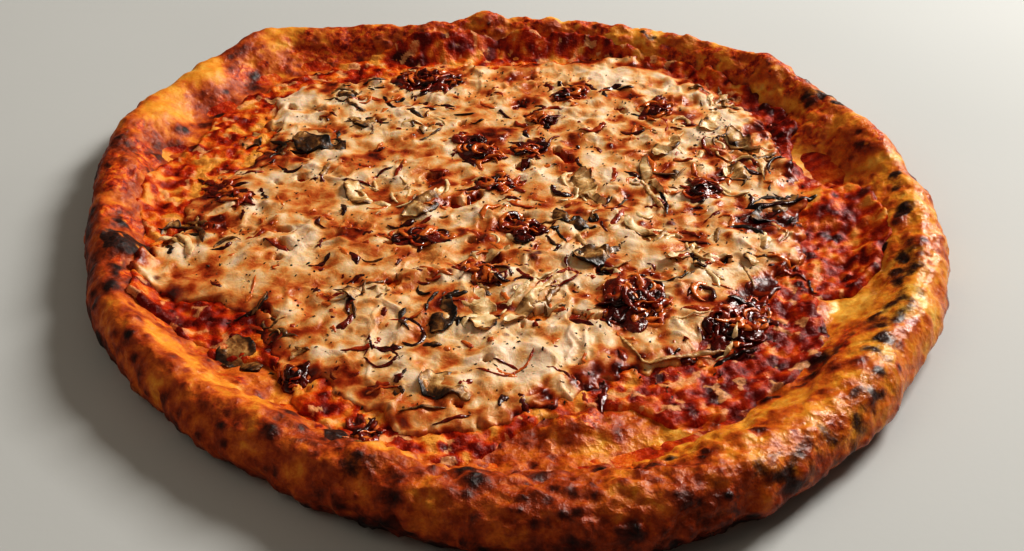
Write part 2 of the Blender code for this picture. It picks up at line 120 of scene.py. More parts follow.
# Bubbles baked into the dough as (x, y, reach along, reach across, turn in degrees, rise)
BUBBLES = (
    (-134, -34, 15, 12, 60, 6.5), (-143, 20, 25, 12, 85, 3.5), (-141, 66, 16, 13, 80, 4.0),
    (-127, 100, 17, 14, 50, 4.5), (-104, 128, 15, 12, 35, 4.0), (-8, 151, 13, 9, 0, 3.5), (54, 138, 16, 11, -20, 3.0),
    (95, 116, 16, 13, -45, 3.0), (124, 60, 18, 14, -60, 5.0), (127, 2, 22, 18, 80, 5.5), (131, -30, 9, 8, 0, 2.5),
    (60, -138, 18, 11, 10, 3.0), (24, -122, 22, 10, 12, 4.5), (-35, -145, 15, 10, -10, 3.0),
    (-108, -102, 20, 9, -50, 2.0), (-82, -99, 15, 9, -45, 3.2), (108, -63, 17, 9, 62, 3.0), (114, 36, 14, 9, 100, 2.2),
)

# Mushroom slices as (x, y, turn, length, width, bend, lift, roll in degrees, darkness from 0 to 1)
MUSHROOM_SLICES = (
    (-106, 58, 80, 14, 8, 1.0, 2.0, 10, 0.85),
    (-77, 49, -20, 24, 13, 3.0, 3.0, 20, 0.95),
    (-58, 70, 10, 17, 9, 3.0, 2.0, -15, 0.55),
    (-31, 63, 20, 11, 6, 1.0, 1.5, 10, 0.7),
    (-68, 95, 25, 12, 6, 1.0, 1.5, 15, 0.75),
    (-54, 11, -38, 25, 10, 4.0, 2.0, -10, 0.2),
    (-30, 4, 55, 26, 10, 2.0, 3.0, 25, 0.3),
    (-39, 121, 22, 19, 5, 1.5, 0.5, 0, 0.15),
    (-122, -17, -62, 24, 9, 4.0, 2.0, -10, 0.55),
    (-87, -87, -50, 20, 14, 2.0, 2.0, 15, 0.7),
    (-47, -55, 25, 19, 9, 3.0, 2.5, 20, 0.5),
    (-8, -64, 95, 28, 11, 1.0, 3.0, 10, 0.0),
    # This slice's high darkness is partly the mushroom's own grey and partly painted shade beside the pale slice above
    # it.
    (-21, -66, 85, 24, 9, 2.0, 2.0, -20, 0.9),
    (8, -61, 60, 28, 6, 2.0, 3.0, 15, 0.1),
    (-18, -106, -30, 20, 12, 2.0, 2.0, -10, 0.75),
    (33, 15, -70, 25, 11, 3.0, 4.0, 35, 0.1),
    (58, 22, -78, 27, 6, 2.0, 4.0, 45, 0.35),
    (68, 51, 60, 26, 9, 2.0, 3.0, -20, 0.1),
    (88, 70, 70, 20, 10, 2.0, 3.0, 10, 0.05),
    (97, 93, -75, 18, 5, 3.0, 2.0, 20, 0.5),
    (98, 49, -60, 20, 8, 1.0, 6.0, 40, 0.4),
    (96, 28, 10, 18, 13, 1.0, 2.0, 0, 0.2),
    (104, 1, 40, 26, 9, 1.0, 3.0, 15, 0.95),
    (28, -9, -20, 22, 8, 3.0, 2.0, 20, 0.9),
    (55, -15, -25, 23, 7, 4.0, 2.0, -15, 0.15),
    (34, -31, 20, 19, 12, 2.0, 3.0, 20, 0.85),
    (66, -29, 50, 20, 5, 3.0, 3.0, 10, 0.2),
    (75, -35, 30, 18, 5, -3.0, 2.0, -10, 0.25),
    (94, -27, 70, 22, 12, 2.0, 1.0, 0, 0.45),
    (-5, -30, 20, 15, 7, 1.5, 1.5, 15, 0.25),
)

# Clumps of caramelised onion as (x, y, turn in degrees, length, width, height, strips)
ONION_CLUMPS = (
    (-35, 107, -15, 36, 25, 5.5, 44),
    (-12, 46, -70, 32, 17, 5.0, 30),
    (11, 47, 20, 18, 13, 4.0, 14),
    (-3, 19, 10, 24, 11, 3.0, 18),
    (15, 70, -60, 16, 10, 4.0, 12),
    (28, 95, 50, 20, 10, 4.0, 14),
    (7, -14, -70, 24, 15, 5.0, 20),
    (45, -60, 80, 36, 25, 6.0, 46),
    (80, -71, 60, 38, 20, 6.0, 38),
    (65, 81, 60, 24, 13, 4.0, 18),
    (-109, 13, -40, 32, 10, 4.0, 22),
    (77, 14, 60, 24, 13, 4.0, 14),
    (-31, -19, 5, 28, 13, 3.0, 16),
    (-9, -42, -20, 22, 8, 3.0, 10),
    (-68, -98, -60, 12, 9, 4.0, 8),
    (-43, -126, -70, 22, 7, 4.0, 9),
)

# Single strips of onion as (width, rise of the last end, tone from 0 dark to 1 amber, places along it)
LONG_STRIPS = (
    (2.4, 0.0, 0.2, ((-123, 26), (-110, 17), (-97, 5))),
    (1.6, 0.5, 0.35, ((-119, 20), (-107, 10), (-99, 0))),
    (1.4, 0.5, 0.15, ((-92, 34), (-86, 28), (-81, 31))),
    (1.3, 0.3, 0.45, ((-46, -90), (-44, -86), (-39, -86), (-35, -89), (-37, -94), (-42, -95), (-46, -91))),
    (1.6, 0.3, 0.3, ((-35, -76), (-33, -71), (-28, -74), (-27, -80), (-30, -84), (-34, -82))),
    (1.0, 0.3, 0.7, ((-9, -97), (-1, -100), (7, -95))),
    (0.9, 0.8, 0.75, ((2, -99), (7, -95), (10, -88))),
    (1.1, 0.2, 0.6, ((14, -96), (18, -97), (22, -101))),
    (1.4, 0.6, 0.6, ((16, -51), (19, -44), (25, -41), (26, -45), (20, -50), (16, -53))),
    (1.6, 0.3, 0.6, ((64, -14), (69, -15), (73, -19))),
    (1.5, 5.0, 0.05, ((118, 34), (113, 39), (108, 36), (105, 28), (104, 17))),
    (3.2, 0.5, 0.05, ((92, 0), (104, 3), (121, 8))),
    (1.2, 1.5, 0.2, ((109, -43), (109, -50), (109, -57))),
    (1.2, 0.2, 0.5, ((-6, -92), (0, -93), (5, -96))),
    (1.3, 0.3, 0.45, ((-22, -123), (-16, -121), (-10, -119))),
    (1.6, 1.0, 0.1, ((59, 14), (62, 6), (62, -4))),
    (1.6, 2.0, 0.4, ((48, -50), (52, -54), (54, -62), (50, -69))),
    (2.4, 1.0, 0.35, ((64, -57), (68, -51), (73, -53), (73, -60))),
    (2.2, 1.5, 0.0, ((69, -93), (77, -87), (84, -86))),
)
# Single strips of mushroom as (width, rise of the last end, darkness from 0 to 1, places along it)
MUSHROOM_STICKS = (
    (2.0, 2.0, 0.35, ((39, -78), (44, -88), (47, -93), (54, -91), (65, -88), (74, -86))),
    (1.0, 1.5, 0.15, ((51, -70), (60, -70), (72, -68))),
    (1.6, 4.0, 0.2, ((70, -89), (76, -83), (79, -74))),
    (1.6, 2.5, 0.25, ((90, 35), (97, 40), (103, 32), (102, 17))),
    (3.0, 1.0, 0.2, ((91, 56), (95, 47), (101, 46))),
    (3.0, 1.0, 0.6, ((-48, -128), (-44, -133), (-40, -140))),
    (1.6, 0.5, 0.5, ((95, 104), (97, 97), (101, 93))),
    (2.0, 2.0, 0.3, ((54, 22), (57, 10), (61, -2))),
    (2.0, 1.0, 0.1, ((-1, -67), (3, -59), (9, -50))),
    (1.8, 1.0, 0.2, ((-17, -59), (-12, -62), (-5, -59))),
    (1.5, 0.8, 0.4, ((31, -35), (38, -39), (46, -35))),
    (1.4, 0.8, 0.5, ((8, -4), (15, -9), (25, -7))),
    (3.4, 1.5, 0.1, ((-130, -17), (-123, -17), (-117, -23), (-114, -33))),
    (2.6, 1.5, 0.75, ((-131, -11), (-122, -9), (-114, -15), (-111, -25))),
)

# Patches that show on the pizza, each as (x, y, reach along, reach across, turn in degrees, strength)
CREAM_PATCHES = (
    (-93, 85, 32, 11, 107, 1.0), (-68, 80, 22, 13, 15, 0.8), (-52, 96, 18, 8, 0, 0.6), (58, 110, 21, 17, 0, 1.0),
    (95, 76, 18, 16, 60, 0.9), (70, 55, 20, 11, 65, 0.7), (66, 12, 24, 16, 0, 0.7), (30, 40, 20, 13, 0, 0.7),
    (46, -24, 20, 14, 0, 0.6), (90, -26, 17, 12, 60, 0.7), (6, -93, 24, 15, 0, 1.0), (-2, -112, 14, 9, 20, 0.9),
    (-36, -95, 20, 14, 0, 0.7), (-62, -87, 15, 9, -30, 0.6), (-116, -28, 24, 9, 105, 0.9), (-108, 1, 16, 8, 10, 0.7),
    (-74, -29, 7, 6, 0, 0.8), (-22, 2, 16, 10, 60, 0.6), (22, -62, 22, 13, 80, 0.6), (12, 24, 12, 10, 0, 0.5),
)
GOLDEN_PATCHES = (
    (-45, -32, 30, 14, 0, 0.7), (-38, -68, 22, 14, 0, 0.6), (-86, -40, 26, 20, 80, 0.6), (-74, -64, 16, 9, 0, 0.7),
    (-10, 72, 18, 12, 0, 0.6), (20, 106, 22, 12, 0, 0.6), (-45, 30, 24, 12, 0, 0.6), (-8, 98, 16, 14, 90, 0.7),
    (46, 80, 15, 11, 0, 0.4), (101, -38, 15, 7, 75, 0.6), (-70, 10, 20, 12, 0, 0.5), (0, 120, 20, 10, 0, 0.7),
)

# Places where the cheese is browned and stained by what lies on it
STAINED_PATCHES = (
    (80, 5, 24, 9, 10, 0.8), (92, -48, 15, 11, 0, 0.9), (84, 38, 12, 8, 0, 0.6), (62, -44, 14, 8, 0, 0.7),
    (26, -38, 12, 7, 0, 0.6), (-38, 42, 16, 8, 0, 0.5), (6, 58, 18, 10, 0, 0.6), (-20, 22, 14, 8, 0, 0.5),
    (32, 78, 14, 8, 0, 0.5), (-75, 34, 14, 7, 0, 0.5), (-52, -20, 12, 6, 0, 0.4), (-100, 4, 12, 7, -40, 0.6),
    (60, 66, 12, 7, 0, 0.5), (-6, -30, 14, 8, 0, 0.6), (34, 2, 14, 8, 0, 0.5), (96, -10, 14, 10, 0, 0.9),
    (70, 30, 12, 8, 0, 0.5), (62, 10, 10, 7, 0, 0.5), (98, 60, 8, 12, 0, 0.5), (-10, 108, 16, 7, 0, 0.4),
)

# How lumpy and grainy the rim is, by angle in degrees
GRAIN_ANGLES = (0, 20, 40, 90, 130, 150, 168, 185, 200, 242, 256, 290, 304, 330, 345, 360)
GRAIN_LEVELS = (1.2, 0.9, 1.2, 1.4, 0.9, 0.7, 1.3, 1.1, 1.0, 1.2, 1.7, 1.7, 1.1, 0.9, 1.2, 1.2)

# How brown and how shiny the rim is, by angle in degrees; brown on its crest, outer side and inner slope
GLOSS_ANGLES = (0, 30, 60, 150, 200, 260, 285, 300, 345, 360)
GLOSS_LEVELS = (0.90, 0.55, 0.50, 0.40, 0.30, 0.50, 0.70, 1.05, 1.10, 0.90)
TOAST_ANGLES = (0, 20, 40, 60, 90, 120, 135, 150, 170, 190, 210, 235, 255, 275, 295, 315, 335, 350, 360)
CREST_TOAST = (
    0.26, 0.32, 0.38, 0.28, 0.28, 0.40, 0.54, 0.50, 0.56, 0.60, 0.50, 0.44, 0.54, 0.52, 0.40, 0.27, 0.23, 0.25, 0.26,
)
OUTER_TOAST = (
    0.26, 0.34, 0.42, 0.42, 0.42, 0.60, 0.68, 0.66, 0.66, 0.66, 0.58, 0.58, 0.68, 0.70, 0.54, 0.34, 0.24, 0.24, 0.26,
)
# The inner slope's peak near 315 degrees is painted shade of the groove under the overhanging rim there.
INNER_TOAST = (
    0.30, 0.26, 0.28, 0.24, 0.26, 0.38, 0.46, 0.48, 0.54, 0.50, 0.46, 0.38, 0.46, 0.48, 0.22, 0.38, 0.22, 0.26, 0.30,
)

# Patches on the rim, given as the patches of the cheese are
CHAR_SPOTS = (
    (-137, -32, 12, 10, 60, 1.5), (-140, -29, 7, 4, 70, 0.7), (139, 72, 11, 6, -60, 0.8), (130, 79, 9, 7, -60, 0.6),
    (132, -30, 7, 5, 0, 0.9), (150, 6, 9, 4, 70, 0.6), (147, -16, 6, 6, 0, 0.7), (112, 8, 10, 4, 30, 0.5),
    # The spot at (108, -91) is painted shade, in near black, of the groove under the overhanging front-right rim.
    (131, -76, 20, 7, 58, 0.6), (142, -46, 16, 7, 75, 0.6), (108, -91, 16, 5, 48, 0.7), (-50, -130, 9, 5, 110, 0.9),
    (-58, -141, 8, 4, 0, 0.4), (48, -143, 7, 4, 0, 0.6), (92, -142, 12, 5, 38, 0.4), (66, -162, 20, 5, 20, 0.35),
    (-125, 148, 10, 4, 40, 0.55), (-140, 131, 9, 4, 45, 0.55), (58, 163, 9, 3, -20, 0.7), (66, 139, 5, 3, 0, 0.8),
    (-66, -131, 5, 4, 0, 0.5), (-120, -106, 5, 4, 0, 0.5), (-42, -152, 8, 4, 0, 0.5), (139, -53, 15, 6, 68, 0.55),
    (127, -78, 16, 7, 59, 0.62), (121, -98, 15, 7, 51, 0.62), (115, -117, 14, 6, 45, 0.55),
    (103, -134, 14, 6, 38, 0.50), (81, -152, 16, 6, 27, 0.55),
)
RED_PATCHES = (
    (113, 113, 24, 15, -45, 0.9), (79, 138, 26, 14, -30, 0.9), (41, 153, 16, 10, -15, 0.8), (0, 156, 20, 10, 0, 0.7),
    (-41, 152, 18, 10, 15, 0.6), (-72, 146, 18, 9, 30, 0.6), (150, 40, 16, 8, 75, 0.6), (-150, 28, 16, 8, 85, 0.6),
    (-137, 34, 26, 15, 80, 0.9), (-150, 10, 14, 8, 80, 0.8), (-150, 46, 14, 8, 90, 0.7), (-124, 80, 20, 9, 80, 0.9),
    (-112, 116, 16, 10, 40, 0.8), (-74, 139, 34, 13, 12, 1.0), (-25, 143, 28, 12, 0, 1.0), (10, 146, 14, 12, 90, 0.9),
    (48, 148, 18, 10, 0, 0.9), (92, 120, 22, 12, -45, 0.9), (127, 48, 12, 9, -60, 0.8), (120, 96, 18, 8, -50, 0.7),
    (122, 66, 20, 15, -60, 1.0), (126, 12, 22, 12, 75, 0.8), (124, -18, 20, 11, 80, 0.9), (116, -48, 14, 8, 70, 0.8),
    (-142, -12, 14, 7, 20, 0.8), (-128, -55, 14, 6, -50, 0.8), (-112, -72, 16, 8, -50, 0.8),
    (30, -118, 18, 7, 10, 0.9), (8, -122, 12, 6, 10, 0.9), (50, -124, 12, 5, 20, 0.8), (-8, -136, 14, 5, 0, 0.6),
    # The patch at (106, -90) is painted shade, in dark red, of the groove under the overhanging front-right rim.
    (34, -136, 12, 5, 5, 0.6), (-66, -108, 16, 7, -30, 0.8), (106, -90, 20, 8, 48, 1.0), (-88, -98, 12, 5, -40, 0.7),
    (-98, -84, 10, 5, -50, 0.7), (-52, -126, 12, 7, -30, 0.7),
)
PALE_PATCHES = (
    (-147, 78, 22, 14, 80, 0.9), (-136, 106, 16, 14, 50, 1.0), (-104, 140, 14, 9, 60, 0.8), (-58, 156, 20, 5, 0, 0.6),
    (-150, -2, 9, 9, 0, 0.6), (-108, -90, 20, 6, -48, 0.8), (-84, -113, 18, 6, -38, 0.7), (-36, -140, 9, 7, 0, 0.9),
    (62, -130, 12, 8, 0, 0.9), (85, -118, 22, 8, 25, 0.8), (120, -64, 18, 7, 60, 0.9), (118, 40, 14, 9, 60, 0.8),
    (142, 55, 10, 8, 60, 0.7), (28, 158, 10, 8, 0, 0.7), (68, 144, 12, 8, -25, 0.7), (-12, 158, 12, 6, 0, 0.6),
    (126, -50, 12, 6, 70, 0.6),
)

# How orange and how milky the sauce is, by angle in degrees
SAUCE_ANGLES = (
    0, 10, 20, 32, 45, 60, 90, 120, 140, 155, 170, 185, 205, 215, 235, 250, 262, 275, 292, 310, 330, 345, 360,
)
SAUCE_OIL = (
    0.44, 0.50, 0.20, 0.08, 0.28, 0.40, 0.38, 0.42, 0.42, 0.55, 0.60, 0.48, 0.32, 0.22, 0.60, 0.38, 0.34, 0.58, 0.38,
    0.24, 0.28, 0.42, 0.44,
)
SAUCE_MILK = (
    0.05, 0.00, 0.00, 0.00, 0.25, 0.55, 0.50, 0.60, 0.70, 0.30, 0.20, 0.40, 0.30, 0.15, 0.20, 0.50, 0.60, 0.20, 0.75,
    0.55, 0.30, 0.10, 0.05,
)


def smooth(low, high, value):
    """0 below low, 1 above high, and 3t^2 - 2t^3 between."""
    t = np.clip((value - low) / (high - low), 0.0, 1.0)
    return t * t * (3.0 - 2.0 * t)


def hashed(corner, seed):
    """A random whole number for each lattice corner: its three whole coordinates times large odd numbers, mixed by
    shifts and one more product."""
    mixed = corner[..., 0] * 374761393 + corner[..., 1] * 668265263 + corner[..., 2] * 1440662683 + seed * 974634
    mixed = (mixed ^ (mixed >> 13)) * 1274126177
    return (mixed ^ (mixed >> 16)) & 0x7FFFFFFF


SLOPES = np.random.default_rng(7).normal(size=(256, 3))
SLOPES /= np.linalg.norm(SLOPES, axis=1, keepdims=True)


def noise(points, pitch, seed):
    """Gradient noise from about -1 to 1: each corner of a cubic lattice has a random slope, and a point takes the
    slopes' values at its eight corners, faded between them by 6t^5 - 15t^4 + 10t^3."""
    scaled = points / pitch
    corner = np.floor(scaled).astype(np.int64)
    part = scaled - corner
    fade = part ** 3 * (part * (part * 6.0 - 15.0) + 10.0)
    total = np.zeros(points.shape[:-1])
    for offset in np.ndindex(2, 2, 2):
        step = np.array(offset)
        slope = SLOPES[hashed(corner + step, seed) & 255]
        weight = np.prod(np.where(step == 1, fade, 1.0 - fade), axis=-1)
        total += weight * np.sum(slope * (part - step), axis=-1)
    return total * 1.7


def layered(points, pitch, seed, layers=3):
    """Noise with finer noise of half the pitch and half the size on it, layer after layer."""
    return sum(noise(points, pitch / 2 ** k, seed + k) / 2 ** k for k in range(layers))


def cells(points, pitch, seed, flat=False):
    """The distance in pitches to the nearest of random points, one in each cube of a lattice, and a random number
    from 0 to 1 that belongs to that nearest point."""
    scaled = points / pitch
    corner = np.floor(scaled).astype(np.int64)
    nearest = np.full(points.shape[:-1], 9.0)
    share = np.zeros(points.shape[:-1])
    for offset in np.ndindex(3, 3, 1 if flat else 3):
        cube = corner + np.array(offset) - np.array((1, 1, 0 if flat else 1))
        place = np.stack([hashed(cube, seed + k) % 1000 / 1000.0 for k in range(3)], axis=-1)
        if flat:
            place[..., 2] = 0.0
        away = np.linalg.norm(cube + place - scaled, axis=-1)
        closer = away < nearest
        nearest = np.where(closer, away, nearest)
        share = np.where(closer, hashed(cube, seed + 3) % 1000 / 1000.0, share)
    return nearest, share


def domes(points, pitch, seed, reach, growth, kept, power=2, flat=False):
    """Domes over some of the cells of a lattice: (1 - (d / r)^2)^power, where d is the distance to the cell's point
    and r is reach + growth * share. A cell keeps its dome where its share is high, from none to all over kept."""
    distance, share = cells(points, pitch, seed, flat)
    return np.clip(1.0 - (distance / (reach + growth * share)) ** 2, 0.0, 1.0) ** power * smooth(*kept, share)


def noises(points, parts):
    """The sum of noises, each given as (size, pitch, seed)."""
    return sum(size * noise(points, pitch, seed) for size, pitch, seed in parts)


def bulges(points, pitch, seed):
    """Rounded swellings with creases between them: over the cells of a lattice, 1 - (d / 0.8)^2, less its mean."""
    return 0.55 - (cells(points, pitch, seed)[0] / 0.8) ** 2


def plan(x, y):
    """Places on the plan as points with no height."""
    return np.stack((x, y, np.zeros_like(x)), axis=-1)


def wave_sum(angle, waves):
    """The sum of size * cos(count * (angle - crest)) over the waves, each given as (count, size, crest in degrees)."""
    return sum(size * np.cos(count * (angle - math.radians(crest))) for count, size, crest in waves)


def outer_radius(angle):
    """The outline: a circle, its waves, and a bell over the angle for each ear or dent."""
    radius = OUTER_RADIUS + wave_sum(angle, OUTLINE_WAVES)
    for middle, size, spread in OUTLINE_EARS:
        away = np.degrees(np.angle(np.exp(1j * (angle - math.radians(middle))))) / spread
        radius = radius + size * np.exp(-away * away)
    return radius


def rim_stretch(angle):
    """The rim's width at an angle, as a share of its nominal one."""
    return 1.0 + wave_sum(angle, RIM_WIDTH_WAVES) / RIM_WIDTH


def rim_rise(angle):
    """The rim's height over the base at an angle, as a share of its nominal one."""
    return 1.0 + wave_sum(angle, RIM_HEIGHT_WAVES) / (RIM_HEIGHT - BASE)


def turned(a, b, x, y, turn):
    """Places a along and b across, turned by turn degrees about the middle and moved to (x, y)."""
    c, s = math.cos(math.radians(turn)), math.sin(math.radians(turn))
    return x + a * c - b * s, y + a * s + b * c


def round_angles(count):
    """Angles once round, in even steps."""
    return np.linspace(0.0, TAU, count, endpoint=False)


def ellipse(x, y, bx, by, along, across, turn):
    """0 in an ellipse's middle and 1 at its edge: the squared distances along and across it, in its reaches."""
    a, b = turned(x - bx, y - by, 0.0, 0.0, -turn)
    return (a / along) ** 2 + (b / across) ** 2


def bubble_lift(x, y):
    """The rise of the dough: for each bubble its height times (1 - q)^2 over its ellipse."""
    total = np.zeros_like(x)
    for bx, by, along, across, turn, rise in BUBBLES:
        q = ellipse(x, y, bx, by, along, across, turn)
        total += rise * np.clip(1.0 - q, 0.0, 1.0) ** 2
    return total


def patches(x, y, entries, ragged=4.0, seed=90):
    """The strongest patch at a place, each fading from its middle as 1 - q, with the place moved by noise first so
    that the patches' edges are ragged."""
    points = plan(x, y)
    wx = x + ragged * layered(points, 11.0, seed, 2)
    wy = y + ragged * layered(points, 11.0, seed + 5, 2)
    strongest = np.zeros_like(x)
    for bx, by, along, across, turn, strength in entries:
        q = ellipse(wx, wy, bx, by, along, across, turn)
        strongest = np.maximum(strongest, strength * smooth(0.0, 0.75, 1.0 - q))
    return strongest


def smooth_curve(points, steps=24):
    """A Catmull-Rom curve through the points: each piece is the cubic with the slopes of its neighbours' chords."""
    p = np.array(points, dtype=float)
    p = np.vstack((2 * p[0] - p[1], p, 2 * p[-1] - p[-2]))
    t = np.linspace(0.0, 1.0, steps, endpoint=False)[:, None]
    pieces = []
    for a, b, c, d in zip(p[:-3], p[1:-2], p[2:-1], p[3:]):
        pieces.append(b + 0.5 * t * (c - a + t * (2 * a - 5 * b + 4 * c - d + t * (3 * (b - c) + d - a))))
    return np.vstack(pieces + [p[-2:-1]])


RIM_CURVE = smooth_curve(RIM_SECTION)
INNER_CURVE = RIM_CURVE[RIM_CURVE[:, 0] >= CREST]
INNER_CURVE = INNER_CURVE[np.argsort(INNER_CURVE[:, 0])]


def crust_top(x, y):
    """The height of the dough's upper side inside the crest: the section's, at the distance in from the outline in
    the rim's nominal width, stretched by the rim's rise, plus the bubbles."""
    angle = np.arctan2(y, x)
    inward = (outer_radius(angle) - np.hypot(x, y)) / rim_stretch(angle)
    height = np.interp(inward, INNER_CURVE[:, 0], INNER_CURVE[:, 1])
    return BASE + (height - BASE) * rim_rise(angle) + bubble_lift(x, y)


def edge_radius(angle, pairs):
    """An edge's radius by angle: straight between its pairs of angle and radius."""
    degrees = np.degrees(angle) % 360.0
    table = np.array(pairs, dtype=float)
    return np.interp(degrees, table[:, 0], table[:, 1])


def from_edge(x, y, pairs):
    """How far inside an edge a place lies: the edge's radius less its own."""
    return edge_radius(np.arctan2(y, x), pairs) - np.hypot(x, y)


def cheese_cover(x, y):
    """1 on the cheese and 0 off it: how far inside the wavy edge a place lies, made ragged by noise, less holes."""
    points = plan(x, y)
    holes = smooth(0.62, 0.80, layered(points, 15.0, 36, 2) + 0.25 * noise(points, 4.0, 38))
    return smooth(-2.0, 2.6, from_edge(x, y, CHEESE_EDGE) + noises(points, CHEESE_EDGE_NOISE)) * (1.0 - holes)


def sauce_top(x, y):
    """The sauce's height: the dough's, plus a layer that ends unevenly up the rim's foot, plus lumps of pulp, which
    are lower under the cheese."""
    points = plan(x, y)
    cover = smooth(-3.5, 3.0, from_edge(x, y, SAUCE_EDGE) + noises(points, SAUCE_EDGE_NOISE))
    distance, share = cells(points, 4.6, 53, flat=True)
    pulp = (0.4 + share) * np.clip(1.0 - (distance / 0.62) ** 2, 0.0, 1.0)
    relief = 0.9 * pulp + 0.9 * noise(points, 9.0, 54) + 0.6 * layered(points, 3.0, 55, 2) - 0.3
    relief = relief * cover * (1.0 - 0.7 * cheese_cover(x, y))
    return np.maximum(crust_top(x, y) - SAUCE_SUNK + SAUCE_RISE * cover + relief, 1.5)


def blisters(x, y):
    """Domes on the cheese."""
    return domes(plan(x, y), 10.5, 61, 0.25, 0.25, (0.35, 0.5), flat=True)


def cheese_top(x, y):
    """The cheese's height, its cover and its relief. The height is the sauce's level plus the thickness where the
    cheese lies, which is less near the edge, and below the dough where it doesn't, by the cube of what is missing of
    the cover. The relief on it is noise, strands where a broad noise passes 0, and blisters."""
    points = plan(x, y)
    cover = cheese_cover(x, y)
    relief = noises(points, CHEESE_NOISE) + 0.22 * layered(points, 4.0, 43, 2)
    strands = sum(smooth(width, 0.0, np.abs(noise(points, pitch, seed))) for width, pitch, seed in CHEESE_STRANDS)
    relief = relief + 0.7 * blisters(x, y) + 0.7 * strands * smooth(-0.3, 0.3, noise(points, 30.0, 49))
    inside = smooth(0.0, 10.0, from_edge(x, y, CHEESE_EDGE) + 3.0 * noise(points, 8.0, 34))
    thickness = (CHEESE_EDGE_SHARE + (1.0 - CHEESE_EDGE_SHARE) * inside) * CHEESE_THICKNESS
    level = crust_top(x, y) + SAUCE_THICKNESS - 0.2
    return level + (thickness + relief) * cover - CHEESE_SUNK * (1.0 - cover) ** 3, cover, relief


def surface_top(x, y):
    """The height of whatever is uppermost: dough, sauce or cheese."""
    return np.maximum(np.maximum(crust_top(x, y), sauce_top(x, y)), cheese_top(x, y)[0])


# Meshes


def new_piece(name, vertices, faces, values=None):
    """A mesh object from points in millimetres, with one number per vertex under each name in values."""
    mesh = bpy.data.meshes.new(name)
    mesh.from_pydata((vertices * MM).tolist(), [], faces)
    for key, numbers in (values or {}).items():
        attribute = mesh.attributes.new(key, "FLOAT", "POINT")
        attribute.data.foreach_set("value", np.ascontiguousarray(numbers, dtype=np.float32))
    mesh.shade_smooth()
    obj = bpy.data.objects.new(name, mesh)
    bpy.context.scene.collection.objects.link(obj)
    return obj


def ring_faces(rings, turns):
    """Faces of a turned grid: vertex 0 is its first pole, then rings of turns vertices, then its last pole."""
    i, j = np.meshgrid(np.arange(rings - 1), np.arange(turns), indexing="ij")
    a, b = 1 + i * turns + j, 1 + i * turns + (j + 1) % turns
    quads = np.stack((a, a + turns, b + turns, b), axis=-1).reshape(-1, 4)
    j = np.arange(turns)
    first = np.stack((np.zeros_like(j), 1 + j, 1 + (j + 1) % turns), axis=-1)
    start = 1 + (rings - 1) * turns
    last = np.stack((start + j, np.full_like(j, start + turns), start + (j + 1) % turns), axis=-1)
    return quads.tolist() + first.tolist() + last.tolist()


def turned_piece(name, points, values, first=None, last=None):
    """A closed surface from rings of points, shaped (rings, turns, 3), with a pole at each end: first and last, or
    else the mean of the end ring. The poles take the mean of the nearest ring's values."""
    rings, turns = points.shape[:2]
    poles = [end.mean(axis=0) if pole is None else pole for end, pole in ((points[0], first), (points[-1], last))]
    vertices = np.vstack((poles[0], points.reshape(-1, 3), poles[1]))
    flat = {}
    for key, numbers in values.items():
        flat[key] = np.concatenate(([numbers[0].mean()], numbers.ravel(), [numbers[-1].mean()]))
    return new_piece(name, vertices, ring_faces(rings, turns), flat)


def grid_normals(points):
    """The unit normal at each point of a turned grid: the cross product of the steps along and around it."""
    along = np.gradient(points, axis=0)
    around = np.roll(points, -1, axis=1) - np.roll(points, 1, axis=1)
    normal = np.cross(along, around)
    return normal / np.maximum(np.linalg.norm(normal, axis=-1, keepdims=True), 1e-9)


def crust_section():
    """The dough's section as columns of nominal radius and height: the dish, the rim in even steps, the underside."""
    section = np.column_stack((OUTER_RADIUS - RIM_CURVE[:, 0], RIM_CURVE[:, 1]))
    length = np.concatenate(([0.0], np.cumsum(np.linalg.norm(np.diff(section, axis=0), axis=1))))
    places = np.linspace(0.0, length[-1], RIM_STEPS)
    rim = np.column_stack([np.interp(places, length, column) for column in section.T])
    inside = np.concatenate((np.linspace(70.0, 104.0, 3), np.linspace(108.0, section[0, 0] - 1.3, 18)))
    dish = np.column_stack((inside, np.full(len(inside), BASE)))
    under = np.column_stack((np.linspace(section[-1, 0] - 3.0, 15.0, 7), np.zeros(7)))
    return np.vstack((dish, rim, under))


